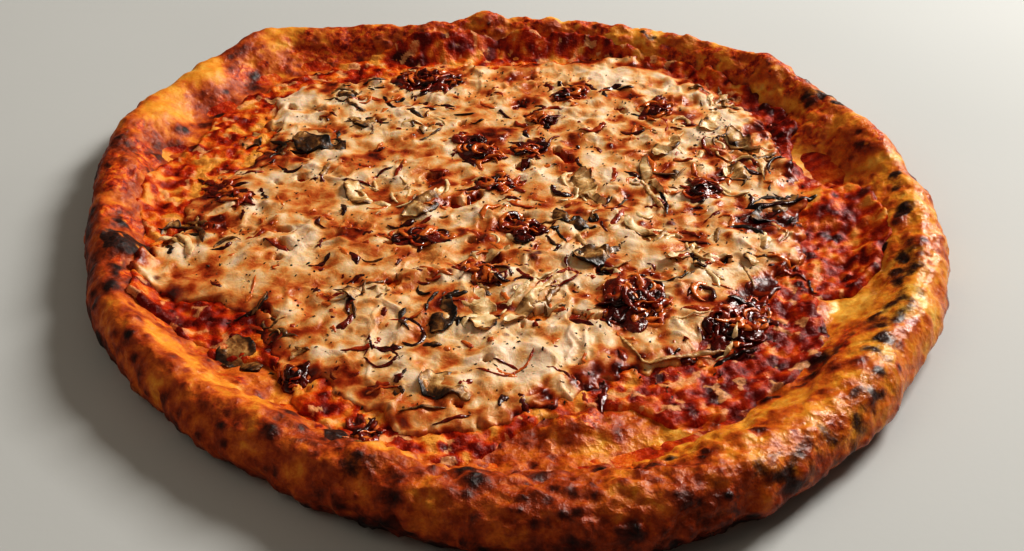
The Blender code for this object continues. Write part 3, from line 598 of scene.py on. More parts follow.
def crust_shape():
    """The dough's points: the section carried round the pizza and moved to the uneven outline, with bulges, blisters
    and noise along its normals, kept inside the solid's box. Returns what the finish needs of its making too."""
    section = crust_section()
    nominal, height = section[:, :1], section[:, 1:]
    angle = round_angles(CRUST_TURNS)[None, :]
    edge, stretch = outer_radius(angle), rim_stretch(angle)
    foot = OUTER_RADIUS - RIM_WIDTH
    rim_radius = edge - (OUTER_RADIUS - nominal) * stretch
    radius = np.where(nominal >= foot, rim_radius, nominal * (edge - RIM_WIDTH * stretch) / foot)
    x, y = radius * np.cos(angle), radius * np.sin(angle)
    z = np.where(height > BASE, BASE + (height - BASE) * rim_rise(angle), height + 0.0 * angle)
    z = z + bubble_lift(x, y) * np.clip((height - 3.0) / (BASE - 3.0), 0.0, 1.0)
    points = np.stack((x, y, z), axis=-1)
    on_rim = np.maximum(smooth(foot - 8.0, foot + 3.0, nominal), smooth(0.2, 1.5, bubble_lift(x, y)))
    on_rim = on_rim * smooth(0.2, 3.0, z)
    spots = domes(points, 11.0, 12, 0.30, 0.25, (0.45, 0.6))
    pimples = domes(points, 4.6, 16, 0.5, 0.0, (0.55, 0.7))
    grain = np.interp(np.degrees(angle), GRAIN_ANGLES, GRAIN_LEVELS)
    broad = 1.1 * noise(points, 30.0, 10) + 1.4 * bulges(points, 22.0, 11) + 0.8 * spots - 0.6
    fine = 0.7 * bulges(points, 9.0, 14) + 0.5 * noise(points, 6.0, 17) + 0.35 * layered(points, 3.6, 13, 2)
    relief = broad * grain + (fine + 0.4 * pimples) * grain ** 2
    relief = 2.3 * np.tanh(relief / 2.3) * on_rim
    points = points + grid_normals(points) * relief[..., None]
    points[..., 2] = np.maximum(points[..., 2], 0.0)
    low, high = (np.array(corner) / MM for corner in CAD_BOX)
    points = np.clip(points, low + (INSIDE_BOX, INSIDE_BOX, 0.0), high - INSIDE_BOX)
    return points, spots, pimples, nominal, angle


def crust_values(points, spots, pimples, nominal, angle):
    """How toasted, charred, red, grainy and glossy the dough is at each vertex. Toast goes by angle from the crest's
    level to the outer and inner sides', plus noise, spots and freckles, plus a darkening of the outer side near the
    floor that is partly browning and partly painted shade, less the pale patches, and the underside has a pattern of
    its own."""
    x, y, z = points[..., 0], points[..., 1], points[..., 2]
    degrees = np.degrees(angle) + 0.0 * x
    inward = OUTER_RADIUS - nominal + 0.0 * x
    outer_side = smooth(15.0, 8.0, z) * smooth(12.0, 4.0, inward)
    inner_side = smooth(13.0, 21.0, inward)
    under = smooth(2.5, 0.4, z)
    above = 1.0 - under
    crest, outer, inner = (np.interp(degrees, TOAST_ANGLES, level) for level in (CREST_TOAST, OUTER_TOAST, INNER_TOAST))
    toast = crest + (outer - crest) * outer_side + (inner - crest) * inner_side + noises(points, TOAST_NOISE)
    # The last term darkens the outer side near the floor: partly browning where the dough met the stone, partly painted
    # shade.
    toast = toast + 0.40 * spots + 0.26 * pimples + 0.20 * smooth(9.0, 1.5, z) * outer_side
    pale = patches(x, y, PALE_PATCHES, 3.0, 95)
    toast = toast * (1.0 - 0.68 * pale) * above + (0.34 + 0.35 * layered(points, 16.0, 76, 3)) * under
    toast = toast + 0.30 * domes(points, 6.5, 74, 0.34, 0.0, (0.5, 0.7), 1) * above
    char = patches(x, y, CHAR_SPOTS, 2.5, 97) * above
    char = np.clip(char * (0.95 + 1.0 * noise(points, 5.0, 78)), 0.0, 1.0)
    red = patches(x, y, RED_PATCHES, 5.0, 99) * above
    red = np.clip(red * (0.75 + 1.1 * noise(points, 6.5, 79) + 0.4 * noise(points, 3.0, 80)), 0.0, 1.0)
    grain = np.interp(degrees, GRAIN_ANGLES, GRAIN_LEVELS) * (1.0 - 0.7 * pale) * (1.0 - 0.5 * outer_side)
    gloss = np.interp(degrees, GLOSS_ANGLES, GLOSS_LEVELS) * (1.0 - 0.3 * char) * (1.0 - 0.5 * under)
    red = red * smooth(3.0, 9.0, z)
    return {"toast": np.clip(toast, 0.0, 1.0), "char": char, "red": red, "grain": grain, "gloss": gloss}


def make_crust():
    """The crust, closed by a pole in the middle of the dish and one in the middle of the underside."""
    points, *marks = crust_shape()
    return turned_piece("baked_crust", points, crust_values(points, *marks), (0.0, 0.0, BASE), (0.0, 0.0, 0.0))


def sauce_values(x, y):
    """How milky, oily and dark the sauce is: by angle, broken up by noise, with more oil near the cheese."""
    flat = plan(x, y)
    degrees = np.degrees(np.arctan2(y, x)) % 360.0
    orange, milky = (np.interp(degrees, SAUCE_ANGLES, level) for level in (SAUCE_OIL, SAUCE_MILK))
    near = smooth(-16.0, -1.0, from_edge(x, y, CHEESE_EDGE) + 5.0 * noise(flat, 9.0, 81))
    milk = smooth(0.22, 0.40, layered(flat, 6.5, 82, 2) + 0.35 * milky - 0.16) * smooth(0.0, 0.2, milky)
    oil = 0.95 * orange + 0.55 * layered(flat, 9.0, 84, 2) + 0.25 * noise(flat, 4.0, 85) + 0.1 * near
    dark = smooth(0.15, 0.7, layered(flat, 9.0, 86, 2) + 0.5 * noise(flat, 4.0, 88) - 0.35 * orange)
    return {"milk": milk * (1 - cheese_cover(x, y)), "oil": np.clip(oil, 0.0, 1.0), "dark": dark}


def make_sauce():
    """The sauce's skin: its height over a turned grid, closed below by a few rings inside the dough."""
    angle = round_angles(SAUCE_TURNS)[None, :]
    reach = outer_radius(angle) - 14.0 * rim_stretch(angle)
    share = np.concatenate((np.linspace(0.1, 0.55, 6), np.linspace(0.57, 1.0, SAUCE_RINGS)))[:, None]
    below = np.array((0.99, 0.8, 0.5, 0.1))[:, None]
    x, y = share * reach * np.cos(angle), share * reach * np.sin(angle)
    low_x, low_y = below * reach * np.cos(angle), below * reach * np.sin(angle)
    top = np.stack((x, y, sauce_top(x, y)), axis=-1)
    low = np.stack((low_x, low_y, np.maximum(crust_top(low_x, low_y) - 6.0, 1.0)), axis=-1)
    points = np.concatenate((top, low), axis=0)
    middle = (0.0, 0.0, float(sauce_top(np.zeros(1), np.zeros(1))[0]))
    return turned_piece("tomato_sauce", points, sauce_values(points[..., 0], points[..., 1]), middle, (0.0, 0.0, 1.0))


def disc_grid(count, radius):
    """A square grid mapped onto a disc: on each of the square's rings, the same distance from the middle to the
    ring's side becomes the radius, and the place along the side becomes the angle."""
    line = np.linspace(-1.0, 1.0, count)
    a, b = np.meshgrid(line, line, indexing="ij")
    wide = np.abs(a) > np.abs(b)
    ring = np.where(wide, a, b)
    safe = np.where(ring == 0.0, 1.0, ring)
    turn = np.where(wide, (math.pi / 4) * (b / safe), math.pi / 2 - (math.pi / 4) * (a / safe))
    return radius * ring * np.cos(turn), radius * ring * np.sin(turn)


def disc_faces(count):
    """Faces of the disc's grid, of the skirt from its outer side to a ring below it, and from there to one vertex.
    Returns the outer side's indices too, in the ring's order."""
    index = np.arange(count * count).reshape(count, count)
    quads = np.stack((index[:-1, :-1], index[1:, :-1], index[1:, 1:], index[:-1, 1:]), axis=-1).reshape(-1, 4)
    loop = np.concatenate((index[:-1, 0], index[-1, :-1], index[:0:-1, -1], index[0, :0:-1]))
    ring = count * count + np.arange(len(loop))
    skirt = np.stack((np.roll(loop, -1), loop, ring, np.roll(ring, -1)), axis=-1)
    under = np.stack((np.roll(ring, -1), ring, np.full_like(ring, count * count + len(loop))), axis=-1)
    return quads.tolist() + skirt.tolist() + under.tolist(), loop


def cheese_values(x, y, cover, relief, near_strip, near_clump):
    """How oily and how browned the cheese is. Oil is noise, less on cream patches and heights, more on stained ones,
    by the edge and beside onion; brown is blisters, dots and blots, with stains beside the strips."""
    flat = plan(x, y)
    cream = patches(x, y, CREAM_PATCHES, 5.0, 101)
    golden = patches(x, y, GOLDEN_PATCHES, 5.0, 103)
    stained = patches(x, y, STAINED_PATCHES, 6.0, 120)
    edge = smooth(16.0, 0.0, from_edge(x, y, CHEESE_EDGE) + 4.0 * noise(flat, 8.0, 105))
    oil = 0.38 + 0.50 * layered(flat, 17.0, 107, 3) + 0.28 * noise(flat, 5.0, 111)
    oil = oil - 0.28 * cream - 0.11 * relief + 0.42 * stained * (0.8 + noise(flat, 4.0, 122))
    oil = oil + 0.6 * golden * (0.42 + 0.15 * noise(flat, 7.0, 112) - oil)
    oil = oil + 0.34 * edge * (0.7 + noise(flat, 5.0, 106)) + 0.30 * (1.0 - cover)
    stain = smooth(0.1, 3.0, near_strip) * (0.6 + 1.2 * noise(flat, 6.0, 118))
    oil = oil + 0.34 * stain + 0.42 * smooth(0.2, 4.5, near_clump)
    brown = 0.5 * blisters(x, y) * smooth(-0.3, 0.5, noise(flat, 18.0, 115))
    brown = brown + 0.6 * domes(flat, 6.0, 113, 0.18, 0.24, (0.5, 0.65), 1, True)
    brown = brown + 0.5 * smooth(0.4, 0.9, layered(flat, 7.0, 117, 2))
    brown = brown * (1.0 - 0.75 * cream) * (1.0 - 0.4 * golden)
    brown = brown + 0.45 * stain * smooth(0.0, 0.5, noise(flat, 10.0, 119))
    return {"oil": np.clip(oil, 0.0, 1.0).ravel(), "brown": np.clip(brown, 0.0, 1.0).ravel()}


def make_cheese(strips, clumps):
    """The cheese: its height over a disc's grid that is stretched to its edge, a little higher round the strips that
    sink in it, closed below by a skirt and a flat underside inside the dough."""
    x, y = disc_grid(CHEESE_GRID, CHEESE_REACH)
    stretch = (edge_radius(np.arctan2(y, x), CHEESE_EDGE) + CHEESE_LAP) / CHEESE_REACH
    x, y = x * stretch, y * stretch
    z, cover, relief = cheese_top(x, y)
    near_strip = read_map(blurred_marks(strips, 1.5), x, y)
    near_clump = read_map(blurred_marks(clumps, 3.0), x, y)
    z = z + 0.5 * smooth(0.5, 4.0, near_strip) * cover
    values = cheese_values(x, y, cover, relief, near_strip, near_clump)
    faces, loop = disc_faces(CHEESE_GRID)
    for key in values:
        values[key] = np.concatenate((values[key], values[key][loop], values[key][:1]))
    top = np.stack((x, y, z), axis=-1).reshape(-1, 3)
    ring = top[loop] * (0.9, 0.9, 0.0) + (0.0, 0.0, BASE - 1.0)
    return new_piece("melted_cheese", np.vstack((top, ring, (0.0, 0.0, BASE - 1.0))), faces, values)


# Slices and strips

CLUMP_SPREAD = 0.42
CLUMP_HEIGHT = 0.42
LOOSE_STRIPS = 520
DRAWN_PLACES = 3000
HERB_FLAKES = 900
MUSHROOM_SHREDS = 210


def swept(centres, half_width, half_height, roll, sides):
    """Closed strips round their centre lines: at each point an ellipse across the line, half_width wide and
    half_height high, turned about the line by roll. Arrays are shaped (strips, points, ...). Returns points shaped
    (strips, points, sides, 3)."""
    along = np.gradient(centres, axis=1)
    along = along / np.maximum(np.linalg.norm(along, axis=-1, keepdims=True), 1e-9)
    up = np.broadcast_to(np.array((0.0, 0.0, 1.0)), along.shape)
    side = np.cross(along, up)
    side = side / np.maximum(np.linalg.norm(side, axis=-1, keepdims=True), 1e-9)
    lift = np.cross(side, along)
    c, s = np.cos(roll)[..., None], np.sin(roll)[..., None]
    wide, high = side * c + lift * s, lift * c - side * s
    phase = round_angles(sides)
    across = half_width[..., None] * np.cos(phase)
    proud = half_height[..., None] * np.sin(phase)
    ring = centres[:, :, None, :] + across[..., None] * wide[:, :, None, :] + proud[..., None] * high[:, :, None, :]
    return ring


def strips_mesh(ring):
    """Vertices and faces of many closed strips shaped (strips, points, sides, 3): every strip gets a pole at each
    end, at the mean of its end ring."""
    count, length, sides = ring.shape[:3]
    first, last = ring[:, :1].mean(axis=2), ring[:, -1:].mean(axis=2)
    body = ring.reshape(count, length * sides, 3)
    vertices = np.concatenate((first, body, last), axis=1)
    one = ring_faces(length, sides)
    quads = np.array([face for face in one if len(face) == 4])
    fans = np.array([face for face in one if len(face) == 3])
    starts = (np.arange(count) * (length * sides + 2))[:, None, None]
    faces = (quads[None] + starts).reshape(-1, 4).tolist() + (fans[None] + starts).reshape(-1, 3).tolist()
    return vertices.reshape(-1, 3), faces


def strips_piece(name, ring, values):
    """One mesh of many strips, with one number per strip under each name in values, the same at all its vertices."""
    size = ring.shape[1] * ring.shape[2] + 2
    return new_piece(name, *strips_mesh(ring), {key: np.repeat(numbers, size) for key, numbers in values.items()})


def curled_paths(x, y, turn, length, curl, points):
    """Plan paths of strips: from the middle both ways, the heading is turn + curl * t for t from -1/2 to 1/2, and
    the path is its running sum."""
    t = np.linspace(-0.5, 0.5, points)[None, :]
    heading = turn[:, None] + curl[:, None] * t
    step = length[:, None] / (points - 1)
    px = np.cumsum(np.cos(heading), axis=1) * step
    py = np.cumsum(np.sin(heading), axis=1) * step
    px = px - px.mean(axis=1, keepdims=True) + x[:, None]
    py = py - py.mean(axis=1, keepdims=True) + y[:, None]
    return px, py, t


def onion_strips(draw, x, y, lift, lengths, widths, hooked=0.25, roundness=0.35, points=9, sides=6):
    """Curled strips of onion over the surface: ribbons that wave, twist and end bluntly, some of them bent round
    into hooks and loops. Each is roundness as high as it is wide."""
    count = len(x)
    turn = draw.uniform(0, TAU, count)
    curl = draw.normal(0.0, 1.5, count)
    loop = draw.uniform(3.4, 6.0, count) * np.sign(curl)
    curl = np.where(draw.uniform(0, 1, count) < hooked, loop, curl)
    px, py, t = curled_paths(x, y, turn, lengths, curl, points)
    wave = draw.uniform(0.1, 0.5, count)[:, None] * np.sin(t * draw.uniform(3, 8, count)[:, None] + turn[:, None])
    pz = surface_top(px, py) + lift[:, None] + wave
    taper = np.sqrt(np.clip(1.02 - np.abs(2 * t) ** 3, 0.0, 1.0))
    wrinkle = 1.0 + 0.28 * np.sin(t * 17.0 + 5.0 * turn[:, None]) + 0.15 * np.sin(t * 29.0 + 3.0 * turn[:, None])
    half_width = widths[:, None] * 0.5 * taper * wrinkle
    half_height = 0.5 * roundness * widths[:, None] * taper + 0.05
    roll = draw.uniform(-0.5, 0.5, count)[:, None] + draw.normal(0.0, 0.9, count)[:, None] * t
    return swept(np.stack((px, py, pz), axis=-1), half_width, half_height, roll, sides)


def clump_core(entry, seed):
    """A low rough dome under a clump's strips: height times the square root of 1 - q^2, where q goes from 0 in the
    middle to 1 at its ragged edge, plus noise."""
    x, y, turn, length, width, height, _ = entry
    rings, turns = 22, 72
    share, angle = np.linspace(0.05, 1.0, rings)[:, None], round_angles(turns)[None, :]
    ragged = CLUMP_SPREAD * share * (1.0 + 0.16 * np.sin(3 * angle + seed) + 0.12 * np.sin(5 * angle + 2 * seed))
    px, py = turned(length * ragged * np.cos(angle), width * ragged * np.sin(angle), x, y, turn)
    dome = CLUMP_HEIGHT * height * np.sqrt(np.clip(1.0 - share ** 2, 0.0, 1.0)) + 0.0 * px
    flat = plan(px, py)
    pz = surface_top(px, py) + dome * (1.0 + 0.45 * noise(flat, 5.0, seed)) + 0.5 * noise(flat, 2.6, 7) - 0.4
    points = np.stack((px, py, pz), axis=-1)
    low = points[-1:] - (0.0, 0.0, 1.6)
    vertices = np.vstack((points[0].mean(axis=0), points.reshape(-1, 3), low[0], low[0].mean(axis=0)))
    return vertices, ring_faces(rings + 1, turns)


def clump_strips(number, entry):
    """The strips of a clump: loops piled highest at its middle, and one in six a longer arm that lies flat."""
    x, y, turn, length, width, height, count = entry
    draw = np.random.default_rng(200 + number)
    radius, around = np.sqrt(draw.uniform(0.0, 1.0, count)), draw.uniform(0, TAU, count)
    px, py = turned(0.40 * length * radius * np.cos(around), 0.40 * width * radius * np.sin(around), x, y, turn)
    arm = draw.uniform(0, 1, count) < 0.17
    lift = np.where(arm, 0.1, CLUMP_HEIGHT * height * (1.0 - radius ** 2) * draw.uniform(0.7, 1.25, count))
    lengths = np.where(arm, draw.uniform(12.0, 20.0, count), draw.uniform(8.0, 15.0, count))
    widths = draw.uniform(1.6, 3.2, count)
    return onion_strips(draw, px, py, lift, lengths, widths, 0.6, 0.4, 11, 6), draw


def make_clump(number, entry):
    """A clump of caramelised onion: its core, and curled strips piled over it."""
    ring, draw = clump_strips(number, entry)
    vertices, faces = strips_mesh(ring)
    core, core_faces = clump_core(entry, 230 + number)
    faces = faces + [[index + len(vertices) for index in face] for face in core_faces]
    tones = np.repeat(draw.uniform(0.1, 1.15, len(ring)), len(vertices) // len(ring))
    tone = np.concatenate((tones, np.full(len(core), 0.45)))
    return new_piece(f"caramelised_onion_{number + 1:02d}", np.vstack((vertices, core)), faces, {"tone": tone})


def scattered(draw, reach, count):
    """Places drawn evenly over a disc: the radius is the reach times the square root of an even draw."""
    radius, around = reach * np.sqrt(draw.uniform(0, 1, count)), draw.uniform(0, TAU, count)
    return radius * np.cos(around), radius * np.sin(around)


def loose_strips():
    """Loose strips of onion on the cheese, fewer where it is bare, most of them half sunk in it. More places are
    drawn than strips are needed, and the first that fit are kept."""
    draw = np.random.default_rng(41)
    x, y = scattered(draw, 114.0, DRAWN_PLACES)
    bare = np.maximum(patches(x, y, CREAM_PATCHES, 0.0, 1), 0.8 * patches(x, y, GOLDEN_PATCHES, 0.0, 1))
    busy = 0.75 + 0.5 * noise(plan(x, y), 24.0, 121) - 0.6 * bare
    keep = np.flatnonzero(draw.uniform(0, 1, DRAWN_PLACES) < busy)[:LOOSE_STRIPS]
    count = len(keep)
    lengths = 3.5 + 13.0 * draw.uniform(0, 1, count) ** 1.6
    widths = draw.uniform(0.9, 2.4, count) + 0.06 * lengths
    return onion_strips(draw, x[keep], y[keep], draw.uniform(-0.6, 0.1, count), lengths, widths, 0.1, 0.32), draw


def placed_strips(entries, points=21, sides=8):
    """Strips swept along curves through their places. Each lies on what is below it, and rises towards its last
    end as rise * t^2 for t from 0 to 1."""
    t = np.linspace(0.0, 1.0, points)
    taper = np.sqrt(np.clip(1.02 - np.abs(2 * t - 1) ** 3, 0.0, 1.0))
    centres, half = [], []
    for number, (width, rise, tone, places) in enumerate(entries):
        curve = smooth_curve(places, 12)
        length = np.concatenate(([0.0], np.cumsum(np.hypot(*np.diff(curve, axis=0).T))))
        px, py = (np.interp(t * length[-1], length, curve[:, axis]) for axis in (0, 1))
        centres.append(np.stack((px, py, surface_top(px, py) + rise * t ** 2), axis=-1))
        half.append(0.5 * width * taper * (1.0 + 0.3 * np.sin(t * 17.0 + number)))
    half = np.array(half)
    roll = 0.5 * np.sin(5.0 * t[None, :] + np.arange(len(entries))[:, None])
    return swept(np.array(centres), half, 0.38 * half + 0.05, roll, sides)


def blurred_marks(points, reach):
    """A square map of how much lies near each place: points are counted in squares of the map's pitch, and the counts
    are blurred by the bell exp(-(d / reach)^2) along x and then along y."""
    span = (-MAP_HALF, MAP_HALF)
    marks = np.histogram2d(points[:, 0], points[:, 1], bins=int(2 * MAP_HALF / MAP_PITCH), range=(span, span))[0]
    steps = int(3 * reach / MAP_PITCH)
    bell = np.exp(-(np.arange(-steps, steps + 1) * MAP_PITCH / reach) ** 2)
    for axis in (0, 1):
        marks = sum(size * np.roll(marks, shift, axis) for shift, size in enumerate(bell, -steps))
    return marks / bell.sum() ** 2


def read_map(marks, x, y):
    """A map's value at places between its squares' middles, by the four nearest squares' weights."""
    u, v = (x + MAP_HALF) / MAP_PITCH - 0.5, (y + MAP_HALF) / MAP_PITCH - 0.5
    i, j = np.floor(u).astype(int), np.floor(v).astype(int)
    fu, fv = u - i, v - j
    i, j = np.clip(i, 0, len(marks) - 2), np.clip(j, 0, len(marks) - 2)
    low = marks[i, j] * (1 - fv) + marks[i, j + 1] * fv
    high = marks[i + 1, j] * (1 - fv) + marks[i + 1, j + 1] * fv
    return low * (1 - fu) + high * fu


def make_herbs():
    """Flakes of dried herb: small bent diamonds with a little thickness."""
    count = HERB_FLAKES
    draw = np.random.default_rng(53)
    x, y = scattered(draw, 122.0, count)
    ring = onion_strips(draw, x, y, np.full(count, 0.05), draw.uniform(0.7, 2.2, count), draw.uniform(0.4, 0.9, count))
    return strips_piece("herb_flakes", ring[:, ::2, ::2], {"tone": draw.uniform(0, 1, count)})


def make_shreds():
    """Shreds of mushroom near the slices: flat strips, half sunk in the cheese, pulled in to its edge if past it."""
    count = MUSHROOM_SHREDS
    draw = np.random.default_rng(67)
    chosen = np.array(MUSHROOM_SLICES)[draw.integers(0, len(MUSHROOM_SLICES), count)]
    x, y = (chosen[:, k] + draw.normal(0.0, 9.0, count) for k in (0, 1))
    inside = np.minimum(1.0, (edge_radius(np.arctan2(y, x), CHEESE_EDGE) - 6.0) / np.hypot(x, y))
    lengths, widths = draw.uniform(5.0, 16.0, count), draw.uniform(0.9, 2.6, count)
    ring = onion_strips(draw, x * inside, y * inside, draw.uniform(-0.3, 0.3, count), lengths, widths, 0.1, 0.4)
    darkness = np.clip(chosen[:, 8] + draw.normal(0.0, 0.25, count), 0.0, 1.0)
    return strips_piece("mushroom_shreds", ring, {"darkness": darkness, "edge": np.zeros(count)})


def make_slice(number, entry):
    """A mushroom slice: a cap's round outline that narrows to a stem, thin, cupped, bent, rolled and wrinkled. Along
    it u goes from -1/2 to 1/2, and across it v from -1 to 1."""
    x, y, turn, length, width, bend, lift, roll, dark = entry
    u = np.linspace(-0.5, 0.5, 40)[:, None]
    phase = round_angles(24)[None, :]
    cap = np.sqrt(np.clip(1.0 - ((u + 0.14) / 0.36) ** 2, 0.0, 1.0))
    stem = 0.40 * smooth(-0.2, -0.05, u) * smooth(0.505, 0.44, u)
    across = 0.5 * width * np.maximum(cap, stem) * np.cos(phase)
    v = np.cos(phase) + 0.0 * across
    ends = np.sqrt(np.clip(1.0 - (2 * u) ** 8, 0.0, 1.0))
    thick = (0.55 + 0.45 * (1 - v * v)) * np.sign(np.sin(phase)) * np.abs(np.sin(phase)) ** 0.45 * ends
    tilt = math.radians(roll) * (0.6 + 0.8 * u)
    bow = bend * (4 * u ** 2 - 0.5)
    px, py = turned(u * length, across * np.cos(tilt) + bow, x, y, turn)
    rest = surface_top(*turned(u * length, bow, x, y, turn))
    rise = lift * (0.25 + 0.55 * np.clip(-2 * u, 0, 1) ** 2)
    wave = 0.4 * np.sin(5.0 * u + number) * v
    pz = rest + rise + across * np.sin(tilt) + 0.22 * lift * v * v + wave + thick
    pz = pz - 1.2 + 2.0 * noise(plan(px, py), 6.5, 400 + number)
    points = np.stack((px, py, pz), axis=-1)
    points = points + 0.6 * noise(points, 3.4, 300 + number)[..., None]
    rim = smooth(0.6, 1.0, np.abs(v)) * (0.55 + 0.45 * smooth(0.1, -0.2, u))
    gills = smooth(0.3, 0.0, np.abs(u + 0.02)) * smooth(0.35, 0.8, np.abs(v))
    darkness = 0.08 + 0.56 * dark + 0.35 * noise(points, 8.0, 350 + number)
    values = {"edge": np.clip(np.maximum(rim, 0.7 * gills), 0, 1), "darkness": darkness}
    return turned_piece(f"mushroom_slice_{number + 1:02d}", points, values)


# Materials


def linear(red, green, blue):
    """A colour of 0 to 255 as shown on a screen, as the linear one that a shader takes."""
    share = np.array((red, green, blue)) / 255.0
    curve = np.where(share <= 0.04045, share / 12.92, ((share + 0.055) / 1.055) ** 2.4)
    return (*curve.tolist(), 1.0)


class Finish:
    """A node material being built: each call adds a node and returns its output."""

    def __init__(self, name):
        self.material = bpy.data.materials.new(name)
        self.material.use_nodes = True
        self.tree = self.material.node_tree
        self.shader = self.tree.nodes["Principled BSDF"]
        self.place = self.add("TexCoord").outputs["Object"]

    def add(self, kind, inputs=None, **settings):
        made = self.tree.nodes.new("ShaderNode" + kind)
        for key, value in settings.items():
            setattr(made, key, value)
        for key, value in (inputs or {}).items():
            self.set(made.inputs[key], value)
        return made

    def set(self, socket, value):
        if isinstance(value, bpy.types.NodeSocket):
            self.tree.links.new(value, socket)
        else:
            socket.default_value = value

    def value(self, name):
        return self.add("Attribute", attribute_name=name).outputs["Fac"]

    def noise(self, scale, detail=3.0, roughness=0.55, distortion=0.0):
        inputs = {"Vector": self.place, "Scale": scale, "Detail": detail, "Roughness": roughness}
        return self.add("TexNoise", {**inputs, "Distortion": distortion}).outputs["Fac"]

    def cells(self, scale):
        return self.add("TexVoronoi", {"Vector": self.place, "Scale": scale}).outputs["Distance"]

    def math(self, operation, a, b=0.0, c=0.0, clamp=False):
        return self.add("Math", {0: a, 1: b, 2: c}, operation=operation, use_clamp=clamp).outputs[0]

    def plus(self, base, value, share, middle=0.5, clamp=True):
        """base + (value - middle) * share, kept from 0 to 1."""
        centred = self.math("SUBTRACT", value, middle)
        return self.math("MULTIPLY_ADD", centred, share, base, clamp=clamp)

    def mixed(self, base, *parts, clamp=True):
        """base plus each (value, share) in turn."""
        for value, share in parts:
            base = self.plus(base, value, share, clamp=clamp)
        return base

    def step(self, value, low, high, to_low=0.0, to_high=1.0):
        """to_low below low, to_high above high, and between them by 3t^2 - 2t^3."""
        inputs = {"Value": value, "From Min": low, "From Max": high, "To Min": to_low, "To Max": to_high}
        return self.add("MapRange", inputs, interpolation_type="SMOOTHSTEP").outputs[0]

    def mix(self, share, a, b):
        return self.add("Mix", {0: share, 6: a, 7: b}, data_type="RGBA").outputs[2]

    def ramp(self, value, *stops):
        """A colour that goes by value through stops, each given as (place, red, green, blue)."""
        made = self.add("ValToRGB", {"Fac": value})
        elements = made.color_ramp.elements
        while len(elements) < len(stops):
            elements.new(0.5)
        for element, (place, *colour) in zip(elements, stops):
            element.position = place
            element.color = linear(*colour)
        return made.outputs["Color"]

    def done(self, colour, roughness, bumps, glow=0.0, glow_reach=0.05, specular=0.5):
        """Sets the shader. Bumps are given as (height, strength, distance), from the coarsest."""
        normal = None
        for height, strength, distance in bumps:
            inputs = {"Height": height, "Strength": strength, "Distance": distance}
            if normal is not None:
                inputs["Normal"] = normal
            normal = self.add("Bump", inputs).outputs["Normal"]
        values = {"Base Color": colour, "Roughness": roughness, "Normal": normal, "Subsurface Weight": glow}
        for key, value in {**values, "Subsurface Scale": glow_reach, "Specular IOR Level": specular}.items():
            self.set(self.shader.inputs[key], value)
        return self.material


def baked_dough():
    """Dough from pale yellow to dark brown, with char, sauce stains, floury grain and an oily shine."""
    f = Finish("baked_dough")
    coarse, grain = f.noise(240.0, 5.0, 0.62), f.noise(800.0, 4.0, 0.65)
    colour = f.ramp(
        f.mixed(f.value("toast"), (coarse, 0.42), (grain, 0.34)),
        (0.00, 242, 190, 92), (0.18, 232, 156, 56), (0.36, 208, 112, 36), (0.54, 168, 70, 22), (0.74, 100, 34, 11),
        (0.92, 38, 12, 7),
    )
    stained = f.ramp(
        f.mixed(f.noise(330.0, 5.0, 0.6), (grain, 0.5), (coarse, 0.4)),
        (0.20, 74, 12, 5), (0.38, 150, 36, 9), (0.54, 210, 88, 20), (0.72, 232, 150, 50),
    )
    colour = f.mix(f.step(f.mixed(f.value("red"), (coarse, 0.6), clamp=False), 0.25, 0.75), colour, stained)
    burnt = f.step(f.mixed(f.value("char"), (grain, 0.6), clamp=False), 0.25, 0.8)
    colour = f.mix(burnt, colour, f.ramp(grain, (0.35, 14, 6, 5), (0.62, 70, 30, 18)))
    rough = f.plus(f.step(f.noise(300.0, 3.0), 0.3, 0.7, 0.55, 0.80), f.value("gloss"), -0.44, 0.0)
    lumps = f.math("MULTIPLY", f.math("ADD", coarse, f.math("MULTIPLY", f.cells(380.0), 0.5)), f.value("grain"))
    bumps = (lumps, 0.55, 0.0012), (grain, 0.5, 0.0005)
    return f.done(colour, rough, bumps, glow=0.05, glow_reach=0.003, specular=0.32)


def tomato_sauce():
    """Baked tomato sauce: dark and bright red with orange oil, milky flecks, and a wet shine."""
    f = Finish("tomato_sauce")
    coarse, grain = f.noise(300.0, 5.0, 0.62), f.noise(900.0, 4.0, 0.65)
    colour = f.ramp(
        f.plus(f.mixed(f.value("oil"), (coarse, 0.6), (grain, 0.4)), f.value("dark"), -0.5, 0.25),
        (0.0, 74, 12, 4), (0.26, 128, 24, 7), (0.50, 188, 58, 15), (0.72, 222, 112, 34), (0.96, 238, 168, 80),
    )
    milky = f.mixed(f.value("milk"), (grain, 1.0), (coarse, 1.2), clamp=False)
    colour = f.mix(f.step(milky, 0.45, 1.15, 0.0, 0.8), colour, linear(236, 176, 122))
    rough = f.step(coarse, 0.3, 0.7, 0.14, 0.32)
    bumps = (coarse, 0.7, 0.0014), (grain, 0.6, 0.0006)
    return f.done(colour, rough, bumps, glow=0.05, glow_reach=0.002, specular=0.20)


